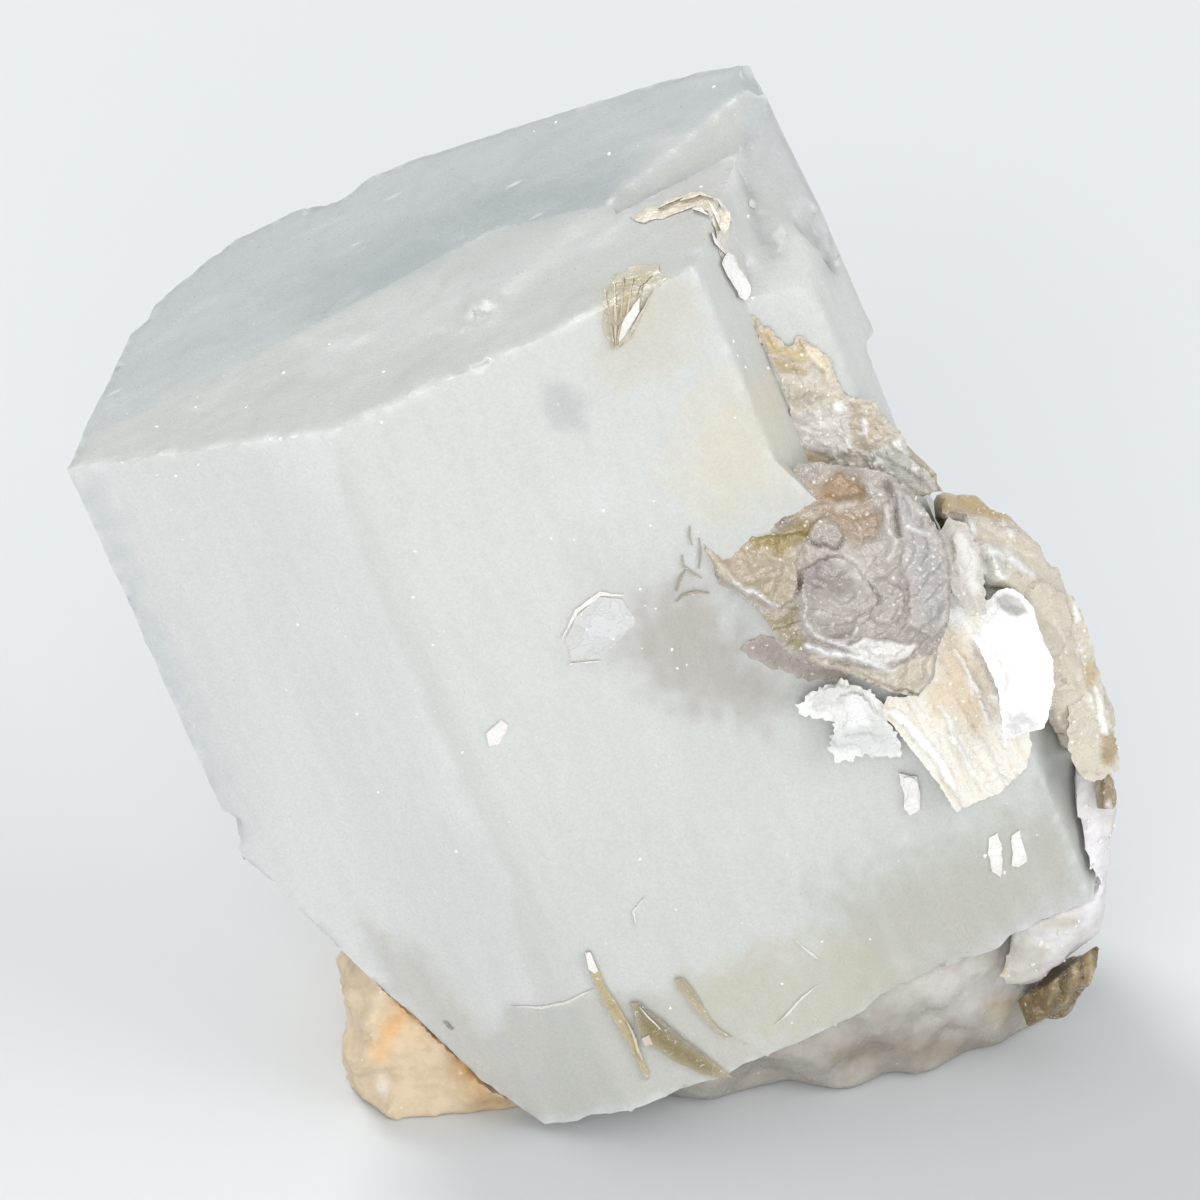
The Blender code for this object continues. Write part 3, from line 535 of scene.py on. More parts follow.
def marked(bm, marks, tone, *, seed=0.0, warp=0.22, grain=0.05, comb=None, steps=None, rings=None,
           back_tone=None):
    """Colours a mesh, and moves what faces the viewer, by its marks.

    The warp makes the marks' edges wander.  A comb is (direction in degrees, height, pitch, tone): fine
    ridges along that direction, whose valleys take the tone as painted shade.  Steps are (height, scale,
    count): thin sheets that end one behind another, each a little lighter or darker, with a painted highlight
    along each sheet's edge; rings are (right, up, pitch), and make those sheets end in arcs round a place."""
    tint = bm.verts.layers.float_color.new("tint")
    into_sight = SIGHT.inverted()
    turn = into_sight.to_3x3().normalized()
    towards = SIGHT.to_3x3() @ Vector((0, 0, 1))
    back_tone = back_tone or tone
    bm.normal_update()
    moves = []
    for vert in bm.verts:
        place = into_sight @ vert.co
        facing = smooth_step((turn @ vert.normal).z, 0.0, 0.35)
        if facing <= 0.0:
            vert[tint] = (*mixed(back_tone, PALE_TONE_AND_RIM_HIGHLIGHT, max(0.0, 0.5 * fog(place, 1.7, seed))), 1.0)
            moves.append(Vector())
            continue
        x = place.x + warp * (fog(place, 0.8, seed) + 0.5 * fog(place, 2.6, seed + 5))
        y = place.y + warp * (fog(place, 0.8, seed + 11) + 0.5 * fog(place, 2.6, seed + 17))
        height, colour = 0.0, tone
        if steps:
            level = steps[2] * (fog((x, y, seed), steps[1]) + 0.35 * fog((x, y, seed), steps[1] * 3.1))
            if rings:
                level += math.hypot(x - rings[0], y - rings[1]) / rings[2]
            part = level - math.floor(level)
            height += steps[0] * (smooth_step(part, 0.0, 0.18) - part)
            shift = math.sin(math.floor(level) * 12.99 + seed)
            colour = mixed(colour, PALE_TONE_AND_RIM_HIGHLIGHT if shift > 0 else tuple(0.72 * value for value in colour),
                           0.34 * abs(shift))
            # a painted highlight along the edge where each sheet ends
            colour = mixed(colour, PALE_TONE_AND_RIM_HIGHLIGHT, 0.5 * math.exp(-(part / 0.14) ** 2))
        for number, mark in enumerate(marks):
            height, colour = mark.applied(x, y, height, colour, number)
        if comb:
            angle = math.radians(comb[0])
            across = -x * math.sin(angle) + y * math.cos(angle)
            along = x * math.cos(angle) + y * math.sin(angle)
            tooth = (0.6 * noise.noise(Vector((across / comb[2], along * 0.12, seed)))
                     + 0.4 * noise.noise(Vector((across * 2.6 / comb[2], along * 0.3, seed))))
            height += comb[1] * tooth
            # the comb's valleys are painted darker, as shade
            colour = mixed(colour, comb[3], max(0.0, min(0.7, -1.3 * tooth)))
        height += grain * (fog(place, 1.6, seed + 3) + 0.6 * fog(place, 4.2, seed + 7))
        vert[tint] = (*mixed(back_tone, colour, facing), 1.0)
        moves.append(towards * height * facing)
    moved(bm, moves)


# ---- the crystal ----

# low places worn or etched into the faces, cast along the line of sight: right, up, width, height, depth
SCARS = (
    (11.0, 24.8, 1.3, 3.2, 0.7), (9.7, 29.6, 0.6, 1.2, 0.3), (-2.2, 12.2, 2.0, 1.0, 0.12),
    (-6.7, -8.8, 0.9, 0.6, 0.2), (-10.1, -28.4, 0.5, 0.5, 0.3), (13.6, 20.0, 1.0, 1.6, 0.25),
)


def face_relief(place, normal, settings):
    """How far a point of the crystal's surface stands out, in millimetres, from growth and wear."""
    if abs(normal.z) < 0.5:
        grooves = noise.noise(Vector((place.x * 1.9, place.y * 1.9, place.z * 0.06)))
        broad = fog(place, 0.07, 2.0)
        plate = smooth_step(fog((place.x, place.y, place.z * 0.4), 0.16, 5.0), 0.05, 0.16)
        return grooves * settings.striation / MM + 0.10 * broad + plate * settings.plates / MM
    if normal.z > 0.5:
        lines = noise.noise(Vector((place.x * 0.25, place.y * 1.3, 1.0)))
        plate = smooth_step(fog(place, 0.2, 8.0), 0.0, 0.1)
        return 0.03 * lines + plate * settings.plates * 1.3 / MM
    return 0.25 * fog(place, 0.5) + 0.12 * fog(place, 1.4)


# the front band of the basal face, painted lighter as light falling on it
TOP_PAINTED_LIGHT = [
    (-35.1, 7.0), (-23.9, 9.0), (-15.9, 11.1), (-7.3, 15.1), (0.2, 18.7), (6.5, 21.3), (9.1, 26.0),
    (9.4, 33.1), (6.5, 31.2), (2.6, 27.0), (0.7, 25.8), (-7.3, 24.1), (-11.5, 21.4), (-15.5, 19.4),
    (-19.5, 17.6), (-24.7, 14.8), (-29.9, 12.3), (-33.5, 10.4),
]
TOP_PALE_STREAK = [
    (-19.5, 16.6), (-11.7, 20.2), (-2.6, 24.4), (2.6, 25.7), (3.2, 23.7), (-2.6, 21.8), (-11.1, 17.6),
    (-18.2, 14.3),
]
# a band of the basal face painted darker, as shade
TOP_PAINTED_SHADE_BAND = [
    (-20.2, 17.9), (-15.5, 19.8), (-11.5, 22.0), (-7.3, 24.6), (0.0, 26.3), (0.0, 27.9), (-7.8, 27.0),
    (-14.3, 24.4), (-19.5, 22.0), (-24.1, 18.9),
]
CLOUD_MAUVE = [
    (2.6, 0.0), (6.5, 1.3), (9.4, -2.6), (13.0, -5.9), (10.7, -8.1), (6.5, -6.8), (3.2, -4.9), (1.3, -2.6),
]
CLOUD_WIDE = [
    (-1.0, 2.6), (5.9, 3.2), (7.8, -1.3), (3.2, -5.9), (-1.3, -2.6),
]
TINT_STRIP = [
    (5.9, 11.7), (7.8, 14.3), (12.0, 15.0), (12.9, 10.4), (12.0, 7.2), (7.8, 5.2), (5.2, 7.8),
]
TINT_SPRAY = [
    (-0.3, 20.2), (2.6, 22.0), (6.5, 19.5), (4.5, 15.0), (1.3, 13.7), (-0.3, 16.2),
]
STAIN_LOW = [
    (5.2, -26.0), (10.4, -23.1), (17.6, -23.1), (21.4, -25.4), (15.0, -29.6), (8.5, -29.2),
]
INCLUSION = [
    (-3.7, 13.8), (-2.6, 14.1), (-0.5, 12.7), (-0.9, 10.9), (-2.6, 10.8), (-3.4, 12.2),
]
VEIL = [
    (-2.3, 8.1), (0.0, 8.5), (1.6, 7.5), (0.7, 5.5), (-2.0, 5.7),
]
# the pits, painted darker grey as shade in the hollows
PITS = [
    (9.2, 30.9), (10.9, 30.7), (12.5, 26.0), (12.0, 22.0), (10.7, 22.6), (9.4, 26.7),
]
EDGE_BLUE = [
    (8.8, 32.2), (9.9, 34.8), (11.4, 32.5), (13.8, 28.5), (16.0, 22.9), (14.9, 21.6), (12.3, 25.7),
    (10.5, 29.2),
]
BAND_LOW = [
    (-6.2, -27.3), (0.0, -26.0), (6.5, -26.8), (10.7, -30.0), (9.1, -32.3), (-3.9, -34.6), (-6.5, -34.3),
    (-7.9, -29.9),
]
CONTACT = [
    (-16.2, -21.4), (-11.7, -23.4), (-7.8, -28.6), (-4.9, -34.1), (-6.5, -34.5), (-10.4, -30.2),
    (-13.8, -25.7),
]
LOW_RIGHT = [
    (14.3, -19.5), (26.0, -14.3), (32.5, -12.3), (32.8, -19.5), (26.0, -25.0), (16.9, -26.0),
]
LILAC_RIGHT = [
    (25.0, -23.7), (31.9, -19.2), (34.6, -19.2), (34.3, -24.1), (29.9, -26.3), (24.7, -27.0),
]
# the front-right prism face, painted darker than the left one as shade, to even out the light it gets
FACE_RIGHT_PAINTED_SHADE = [
    (-17.2, 11.4), (-16.5, 4.7), (-10.2, -9.8), (-6.2, -18.3), (-4.5, -26.6), (-2.0, -40.0), (40.0, -40.0),
    (40.0, 30.0), (-10.0, 25.0),
]
MARGIN_LEFT = [
    (-35.4, 7.5), (-32.5, 7.8), (-30.9, 2.6), (-23.1, -16.6), (-24.4, -16.9), (-25.7, -15.3),
]
BLEB_PALE = [
    (-2.5, -2.6), (-1.5, -0.7), (0.0, 0.4), (1.6, 0.3), (2.6, -1.4), (1.3, -2.7), (0.0, -4.0),
    (-2.0, -4.2),
]


def crystal_marks():
    """Stains, clouds and bands in the crystal, with painted light and shade on some faces, as lists for its
    basal face and for its sides.
    """
    top = [
        # painted light on the front band of the basal face
        stain(TOP_PAINTED_LIGHT, display(211, 212, 207), 1.0, width=0.5),
        # painted shade on the back band of the basal face
        stain(TOP_PAINTED_SHADE_BAND, display(198, 202, 202), 0.8, width=1.2),
        stain(TOP_PALE_STREAK, display(220, 222, 219), 0.7, width=0.8),
        stain(oval(6.5, 26.5, 4.6, 4.0), display(214, 212, 206), 0.8, width=1.6),
        stain(TINT_SPRAY, display(216, 210, 190), 0.7, width=1.0),
        # painted shade in the pits
        stain(PITS, display(190, 191, 190), 0.5, width=0.4),
    ]
    sides = [
        # painted shade over the front-right face
        stain(FACE_RIGHT_PAINTED_SHADE, display(226, 227, 222), 0.9, width=0.3),
        stain(LOW_RIGHT, display(201, 198, 187), 0.85, width=3.0),
        stain(MARGIN_LEFT, display(212, 217, 221), 0.7, width=1.6),
        stain(CLOUD_WIDE, display(216, 212, 208), 0.6, width=2.6),
        stain(CLOUD_MAUVE, display(182, 171, 161), 0.66, width=2.0),
        stain(TINT_STRIP, display(238, 226, 200), 0.6, width=2.0),
        stain(TINT_SPRAY, display(222, 214, 194), 0.7, width=1.4),
        stain(STAIN_LOW, display(212, 204, 182), 0.7, width=1.8),
        stain(BAND_LOW, display(212, 209, 200), 0.8, width=0.6),
        stain(CONTACT, display(212, 208, 198), 0.8, width=0.9),
        stain(LILAC_RIGHT, display(222, 217, 220), 0.8, width=1.0),
        stain(INCLUSION, display(192, 187, 190), 0.5, width=0.7),
        stain(VEIL, display(240, 240, 238), 0.3, width=0.8),
        # painted shade in the pits
        stain(PITS, display(190, 190, 188), 0.55, width=0.3),
        stain(EDGE_BLUE, display(203, 206, 205), 0.8, width=0.7),
        stain(BLEB_PALE, display(230, 231, 230), 0.5, width=0.3, lift=0.15),
    ]
    return top, sides


WORN_OUTLINE = ((13.0, 26.0, 4.2, 7.0), (-23.4, -14.8, 1.6, 1.6))    # right, up, width, height
WORN_BACK = -22.0                     # depth in sight behind which the outline is not worn


def softened_edge(bm):
    """Rounds the edges where two prism faces meet at a low angle, and the worn places at the outline."""
    def ends(low, high):
        return {vert for edge in bm.edges for vert in edge.verts
                if low < edge.link_faces[0].normal.dot(edge.link_faces[1].normal) < high}

    def grown(chosen, rings):
        for _ in range(rings):
            chosen = chosen | {edge.other_vert(vert) for vert in chosen for edge in vert.link_edges}
        return chosen

    sharp = grown(ends(-1.1, 0.72), 2)
    near_edges = grown(ends(-1.1, 0.97), 1)
    level = [vert for vert in bm.verts if vert not in near_edges]
    eased(bm, [vert for vert in grown(ends(0.80, 0.93), 2) if vert not in sharp], 6)
    eased(bm, level, 4)
    into_sight = SIGHT.inverted()
    places = [(vert, into_sight @ vert.co) for vert in bm.verts]
    for right, up, wide, high in WORN_OUTLINE:
        eased(bm, [vert for vert, place in places
                   if ((place.x - right) / wide) ** 2 + ((place.y - up) / high) ** 2 < 1.0
                   and place.z > WORN_BACK], 10)


def crystal_tone(place, seen, facing, on_top, marks, settings):
    """The colour of a point of the crystal, and how far its marks make it stand out."""
    x = seen.x + 0.5 * fog(place, 0.25, 1.0) + 0.2 * fog(place, 0.9, 2.0)
    y = seen.y + 0.5 * fog(place, 0.25, 3.0) + 0.2 * fog(place, 0.9, 4.0)
    cloud = smooth_step(fog((place.x, place.y, place.z * 0.5), 0.10, 6.0), -0.2, 0.5)
    # the basal face takes its own darker tone, as painted shade
    tone = tuple(settings.top_painted_shade) if on_top else mixed(settings.body, display(222, 222, 219), 0.5 * cloud)
    painted, height = tone, 0.0
    if facing > 0.0:
        for number, mark in enumerate(marks):
            height, painted = mark.applied(x, y, height, painted, number)
    tone = mixed(tone, painted, facing)
    if on_top:
        streak = fog((x * 0.3 + y * 0.15, (y - 0.5 * x) * 1.1, 0.0), 0.7, 7.0)
    else:
        streak = fog((place.x * 1.4, place.y * 1.4, place.z * 0.18), 0.8, 8.0)
    return mixed(tone, display(238, 241, 239), max(0.0, min(0.1, 0.3 * streak))), height * facing


BROAD_FACE = 0.02 * MM * MM           # smaller faces say nothing about how sharp a corner is


def crystal_piece(settings):
    bm = remeshed("aquamarine", "SHARP", 7)
    bmesh.ops.dissolve_degenerate(bm, dist=0.09 * MM, edges=bm.edges)
    bmesh.ops.triangulate(bm, faces=bm.faces)
    closed_up(bm)
    bm.normal_update()
    softened_edge(bm)
    bm.normal_update()
    worn = bm.verts.layers.float.new("worn")
    tint = bm.loops.layers.float_color.new("tint")
    into_crystal, into_sight = CRYSTAL.inverted(), SIGHT.inverted()
    turn = into_crystal.to_3x3().normalized()
    scars = [(Vector((right, up)), Vector((wide, high)), depth) for right, up, wide, high, depth in SCARS]
    viewer = SIGHT.to_3x3().normalized() @ Vector((0, 0, 1))
    marks = dict(zip((True, False), crystal_marks()))
    basal = {face.index: (turn @ face.normal).z > 0.6
             and (into_crystal @ face.calc_center_median()).z > TOP_EDGE - 1.5 for face in bm.faces}
    moves, tones = [], []
    for vert in bm.verts:
        place, seen = into_crystal @ vert.co, into_sight @ vert.co
        relief = face_relief(place, turn @ vert.normal, settings)
        facing = smooth_step(vert.normal.dot(viewer), -0.05, 0.15)
        sides = {basal[face.index] for face in vert.link_faces}
        found = {side: crystal_tone(place, seen, facing, side, marks[side], settings) for side in sides}
        tones.append({side: tone for side, (tone, _) in found.items()})
        relief += min(height for _, height in found.values())
        broad = [face.normal for face in vert.link_faces if face.calc_area() > BROAD_FACE]
        corner = min((one.dot(two) for one in broad for two in broad), default=1.0)
        if corner < 0.8:
            nibble = 0.25 + 0.75 * abs(fog(place, 0.45, 3.0)) + 0.5 * abs(fog(place, 1.6))
            relief -= nibble * settings.edge_wear / MM
            # how much paler the edge is painted: partly chipped wear, partly a painted edge highlight
            vert[worn] = smooth_step(fog(place, 1.1, 9.0), -0.05, 0.35)
        if vert.normal.dot(viewer) > 0.2:
            for centre, radii, depth in scars:
                away = Vector(((seen.x - centre.x) / radii.x, (seen.y - centre.y) / radii.y)).length
                if away < 1.0:
                    relief -= depth * (1 - away * away) * (0.7 + 0.5 * fog(place, 1.5))
        moves.append(vert.normal * relief * MM)
    for face in bm.faces:
        side = basal[face.index]
        for corner in face.loops:
            corner[tint] = (*tones[corner.vert.index][side], 1.0 if side else 0.0)
    moved(bm, moves)
    made = object_of("aquamarine_crystal", mesh_of("aquamarine_crystal", bm), [aquamarine_finish(settings)])
    return finish_piece(made, ["aquamarine"], 48)


# ---- the stones ----

FLAT_BASE = 0.4 * MM                  # points below this height keep the base flat

def rough_stone(node, name, finish, settings, marks, tone, *, fine, coarse, cleavage, seed,
                ease=4, smooth_deg=40):
    """A CAD stone in small cells, broken along a cleavage direction, roughened and stained."""
    bm = remeshed(node, "VOXEL", settings.cell)
    eased(bm, bm.verts, ease)
    along, step = Vector(cleavage[0]).normalized(), cleavage[1]
    bm.normal_update()
    moves = []
    for vert in bm.verts:
        place = vert.co / MM
        relief = (coarse * fog(place, 0.45, seed) + fine * fog(place, 1.5, seed)
                  + 0.4 * fine * fog(place, 3.6, seed))
        level = place.dot(along) + 0.8 * fog(place, 0.3, seed)
        ledge = (round(level / step) * step - level) * cleavage[2]
        moves.append((vert.normal * relief + along * ledge * abs(vert.normal.dot(along))) * MM)
    for vert, move in zip(bm.verts, moves):
        if vert.co.z > FLAT_BASE:
            vert.co += move
    marked(bm, marks, tone, seed=seed, grain=0.0)
    for vert in bm.verts:
        vert.co.z = max(0.0, vert.co.z)
    made = object_of(name, mesh_of(name, bm), [finish])
    return finish_piece(made, [node], smooth_deg)


def feldspar_piece(settings):
    rust, tone = tuple(settings.feldspar_stain), tuple(settings.feldspar)
    marks = [
        stain(oval(-12.8, -27.4, 1.3, 2.6), mixed(tone, (0.84, 0.56, 0.30), 0.6), 0.5, width=1.4),
        stain(FELDSPAR_TAN, display(204, 170, 122), 0.8, width=0.8),
        stain(FELDSPAR_TIP, display(196, 160, 108), 0.8, width=0.5),
        stain(FELDSPAR_ORANGE, rust, 0.75, width=0.8),
        *[fold(line, rust, -0.05, 0.6, 0.55) for line in FELDSPAR_BRANCHES],
        fold([(-16.0, -22.4), (-14.0, -24.6), (-12.2, -26.6)], rust, -0.05, 0.4, 0.6),
        stain(FELDSPAR_WHITE, display(242, 232, 216), 0.8, width=0.3),
    ]
    finish = stone_finish("feldspar_peach", speck=0.05, rough=0.5, grit=0.07)
    return rough_stone("feldspar", "feldspar_lump", finish, settings, marks, tone, fine=0.07,
                       coarse=0.16, cleavage=((0.86, 0.34, 0.38), 1.3, 0.3), seed=1.0)


def quartz_piece(settings):
    tone = tuple(settings.quartz)
    marks = [
        stain(oval(16.5, -27.8, 5.0, 1.7), display(190, 185, 180), 0.8, width=1.2),
        stain(oval(25.0, -26.0, 5.2, 2.4), display(216, 211, 206), 0.9, width=1.4),
        stain(oval(21.0, -30.4, 6.0, 1.0), display(150, 138, 120), 0.6, width=0.8),
        stain(oval(27.5, -27.6, 1.8, 1.0), display(206, 186, 150), 0.6, width=0.6),
    ]
    finish = stone_finish("quartz_smoky", speck=0.05, rough=0.36, transmission=0.12, grit=0.08)
    return rough_stone("quartz", "quartz_mass", finish, settings, marks, tone, fine=0.06,
                       coarse=0.14, cleavage=((0.5, 0.55, 0.67), 2.2, 0.10), seed=2.0, ease=10)


def albite_piece(settings):
    marks = [
        stain(oval(32.8, -17.5, 1.8, 3.2), display(232, 229, 233), 0.9, width=0.8),
        stain(oval(27.5, -24.4, 2.4, 1.8), display(208, 202, 192), 0.9, width=1.0),
        stain(oval(26.2, -24.8, 1.2, 0.7), display(206, 190, 148), 0.6, width=0.4),
        stain(oval(30.6, -21.4, 1.2, 0.6), display(196, 184, 162), 0.6, width=0.4),
    ]
    finish = stone_finish("albite_white", speck=0.16, rough=0.42)
    return rough_stone("albite", "albite_grains", finish, settings, marks, tuple(settings.albite),
                       fine=0.12, coarse=0.1, cleavage=((0.2, -0.6, 0.75), 1.1, 0.30), seed=3.0, ease=1)


# ---- mica leaves ----

def frayed(outline, spacing, fray, rng):
    """The outline with points every spacing or so, each pulled in or out by up to fray."""
    points = []
    for (x, y), (next_x, next_y) in zip(outline, outline[1:] + outline[:1]):
        span = Vector((next_x - x, next_y - y))
        steps = max(1, round(span.length / spacing))
        across = Vector((span.y, -span.x)).normalized()
        for step in range(steps):
            t = step / steps
            pull = rng.uniform(-fray, fray * 0.4)
            points.append(Vector((x, y)) + span * t + across * pull)
    return points


ROW_HEIGHT = 0.866                    # of a net of even triangles, as a share of its spacing


def net_points(low, high, spacing, jitter, rng):
    """Places in rows of even triangles, each moved by up to jitter times the spacing."""
    y, row = low[1], 0
    while y < high[1]:
        x = low[0] + (row % 2) * spacing / 2
        while x < high[0]:
            yield x + rng.uniform(-jitter, jitter) * spacing, y + rng.uniform(-jitter, jitter) * spacing
            x += spacing
        y += spacing * ROW_HEIGHT
        row += 1


def border_of(triangles):
    """The edges that only one triangle has, each in that triangle's direction."""
    border = {}
    for a, b, c in triangles:
        for one, two in ((a, b), (b, c), (c, a)):
            if (two, one) in border:
                del border[(two, one)]
            else:
                border[(one, two)] = True
    return list(border)


def leaf_net(outline, spacing, fray, seed):
    """Points, triangles and the share of rim at each point, for a flat leaf of that outline."""
    rng = random.Random(seed)
    rim = frayed(outline, spacing, fray, rng)
    xs, ys = [p.x for p in rim], [p.y for p in rim]
    inner = [Vector(spot) for spot in
             net_points((min(xs), min(ys)), (max(xs), max(ys)), spacing, 0.2, rng)]
    ring = list(range(len(rim)))
    found = delaunay_2d_cdt(rim + inner, [], [ring], 1, 1e-4)
    points, triangles = found[0], found[2]
    edge_points = rim + rim[:1]

    def rim_share(point):
        nearest = min((point - spot).length for spot in edge_points)
        return max(0.0, 1.0 - nearest / 0.55)

    return points, triangles, [rim_share(point) for point in points]


def layer_leaf(bm, net, front, thickness, tone):
    """Adds a closed leaf to bm: front(right, up) gives its front face in the axes of sight."""
    points, triangles, rims = net
    tint = bm.verts.layers.float_color.get("tint")
    pairs = {}
    for index in sorted({index for triangle in triangles for index in triangle}):
        point = points[index]
        depth = front(point.x, point.y)
        pairs[index] = [bm.verts.new(SIGHT @ Vector((point.x, point.y, near)))
                        for near in (depth, depth - thickness)]
        for vert in pairs[index]:
            # the leaf is painted lighter near its rim, as a painted highlight
            vert[tint] = (*mixed(tone, PALE_TONE_AND_RIM_HIGHLIGHT, 0.35 * rims[index]), 1.0)
    for a, b, c in triangles:
        bm.faces.new((pairs[a][0], pairs[b][0], pairs[c][0]))
        bm.faces.new((pairs[c][1], pairs[b][1], pairs[a][1]))
    for one, two in border_of(triangles):
        bm.faces.new((pairs[two][0], pairs[one][0], pairs[one][1], pairs[two][1]))


def plane_front(centre, facing):
    """A front face that lies on a plane, as a function of right and up."""
    normal = Vector(facing).normalized()

    def front(right, up):
        away = Vector((right - centre[0], up - centre[1]))
        return centre[2] - (normal.x * away.x + normal.y * away.y) / normal.z

    return front


class Surface:
    """The front of a built piece, found by looking along the line of sight."""

    ahead = 80.0                      # where the look starts, in front of every piece

    def __init__(self, name):
        bm = bmesh.new()
        bm.from_mesh(bpy.data.objects[name].data)
        self.tree = BVHTree.FromBMesh(bm)
        bm.free()
        self.direction = (SIGHT.to_3x3() @ Vector((0, 0, -1))).normalized()

    def depth(self, right, up, otherwise):
        hit = self.tree.ray_cast(SIGHT @ Vector((right, up, self.ahead)), self.direction)[0]
        return otherwise if hit is None else (SIGHT.inverted() @ hit).z

    def front(self, outline, lift, ripple=0.0, seed=0.0, reach=1.6):
        """A front face that lies lift above the surface; past an edge it carries on in its own plane."""
        xs, ys = [x for x, _ in outline], [y for _, y in outline]
        spots = outline + [((x + sum(xs) / len(xs)) / 2, (y + sum(ys) / len(ys)) / 2) for x, y in outline]
        hits = [(x, y, depth) for x, y in spots if (depth := self.depth(x, y, None)) is not None]
        plane = fitted_plane(hits)
        for _ in range(2):
            kept = [hit for hit in hits if abs(plane(hit[0], hit[1]) - hit[2]) < reach]
            if len(kept) > 4:
                plane = fitted_plane(kept)

        def front(right, up):
            level = plane(right, up)
            depth = self.depth(right, up, level)
            depth = min(level + reach, max(level - 0.3 * reach, depth))
            return depth + lift + ripple * fog((right, up, 0), 0.8, seed)

        return front

    def leaf(self, outline, lift, thickness, tone, seed, fray=0.12, ripple=0.08):
        """A loose leaf on this surface, as leaves_mesh takes it."""
        return outline, self.front(outline, lift, ripple, seed), thickness, tone, seed, fray


def ribbon(line, width):
    """The outline of a strip along an open line, pointed at its ends."""
    left, right = [], []
    for number, (x, y) in enumerate(line):
        before, after = line[max(0, number - 1)], line[min(len(line) - 1, number + 1)]
        along = Vector((after[0] - before[0], after[1] - before[1])).normalized()
        half = width / 2 * (0.25 if number in (0, len(line) - 1) else 1.0)
        left.append((x - along.y * half, y + along.x * half))
        right.append((x + along.y * half, y - along.x * half))
    return left[::-1] + right


def fitted_plane(hits):
    """The plane closest to some (right, up, depth) points, as a function of right and up."""
    count = len(hits)
    middle = Vector([sum(hit[axis] for hit in hits) / count for axis in range(3)])
    xx = sum((hit[0] - middle.x) ** 2 for hit in hits) + 1e-3
    yy = sum((hit[1] - middle.y) ** 2 for hit in hits) + 1e-3
    xy = sum((hit[0] - middle.x) * (hit[1] - middle.y) for hit in hits)
    xz = sum((hit[0] - middle.x) * (hit[2] - middle.z) for hit in hits)
    yz = sum((hit[1] - middle.y) * (hit[2] - middle.z) for hit in hits)
    scale = xx * yy - xy * xy
    slope_x = (xz * yy - yz * xy) / scale
    slope_y = (yz * xx - xz * xy) / scale
    return lambda right, up: middle.z + slope_x * (right - middle.x) + slope_y * (up - middle.y)


def scaled(outline, factor, drift=(0.0, 0.0), turn_deg=0.0):
    """The outline shrunk about its middle, turned and moved."""
    middle = Vector((sum(x for x, _ in outline), sum(y for _, y in outline))) / len(outline)
    spin = Matrix.Rotation(math.radians(turn_deg), 2)
    return [tuple(middle + spin @ (Vector(point) - middle) * factor + Vector(drift)) for point in outline]


# ---- node trees ----

def link(tree, socket, target):
    tree.links.new(socket, target)


def geometry_tree(name, inputs):
    """An empty modifier tree with a Geometry input and output and the named inputs."""
    tree = bpy.data.node_groups.new(name, "GeometryNodeTree")
    tree.interface.new_socket("Geometry", in_out="OUTPUT", socket_type="NodeSocketGeometry")
    tree.interface.new_socket("Geometry", in_out="INPUT", socket_type="NodeSocketGeometry")
    for socket_name, kind in inputs:
        tree.interface.new_socket(socket_name, in_out="INPUT", socket_type=kind)
    return tree, add(tree, "NodeGroupInput"), add(tree, "NodeGroupOutput")


def random_number(tree, low, high, seed):
    return add(tree, "FunctionNodeRandomValue", {2: low, 3: high, 8: seed}, data_type="FLOAT").outputs[1]


def seeded(tree, seed, more):
    return add(tree, "ShaderNodeMath", {0: seed, 1: more}, operation="ADD").outputs[0]


def combine_xyz(tree, x, y, z):
    return add(tree, "ShaderNodeCombineXYZ", {0: x, 1: y, 2: z}).outputs[0]


def set_inputs(modifier, values):
    """Sets a modifier's inputs by their names, through the identifiers of its sockets."""
    identifiers = {
        item.name: item.identifier for item in modifier.node_group.interface.items_tree
        if item.item_type == "SOCKET" and item.in_out == "INPUT"
    }
    for name, value in values.items():
        modifier[identifiers[name]] = value


def joined(name, meshes, finish_list=()):
    """One object from several meshes, keeping their materials and attributes."""
    parts = [object_of(f"{name}_part_{number}", mesh) for number, mesh in enumerate(meshes)]
    if len(parts) > 1:
        with bpy.context.temp_override(active_object=parts[0], selected_editable_objects=parts,
                                       selected_objects=parts):
            bpy.ops.object.join()
    made = parts[0]
    made.name = name
    made.data.name = name
    for finish in finish_list:
        made.data.materials.append(finish)
    return made


def leaves_mesh(name, leaves, finish):
    """Loose leaves, each (outline, front, thickness, tone, seed, fray), as one mesh."""
    bm = bmesh.new()
    bm.verts.layers.float_color.new("tint")
    for outline, front, thickness, tone, seed, fray in leaves:
        layer_leaf(bm, leaf_net(outline, LEAF_SPACING, fray, seed), front, thickness, tone)
    mesh = mesh_of(name, bm)
    mesh.materials.append(finish)
    return mesh


LEAF_SPACING = 0.4

# outlines and lines, in the axes of sight
BOOK_OUTLINE = [
    (6.37, 6.95), (8.13, 7.05), (10.52, 7.05), (11.93, 7.65), (12.36, 8.07), (12.92, 8.85), (14.33, 8.99),
    (15.88, 8.71), (17.43, 8.57), (18.56, 8.29), (19.83, 7.58), (20.81, 6.45), (21.66, 5.19),
    (22.57, 3.63), (22.93, 1.94), (22.86, -0.31), (22.65, -1.72), (22.08, -3.13), (21.8, -5.1),
    (20.81, -6.3), (19.12, -6.02), (17.29, -5.24), (15.74, -4.61), (13.77, -4.26), (12.36, -3.48),
    (11.58, -2.71), (11.09, -1.72), (10.38, -0.59), (9.4, 0.11), (7.85, 1.03), (7.35, 1.94), (6.89, 2.79),
    (6.55, 4.06), (6.65, 4.83), (7.14, 5.26), (6.72, 6.03),
]
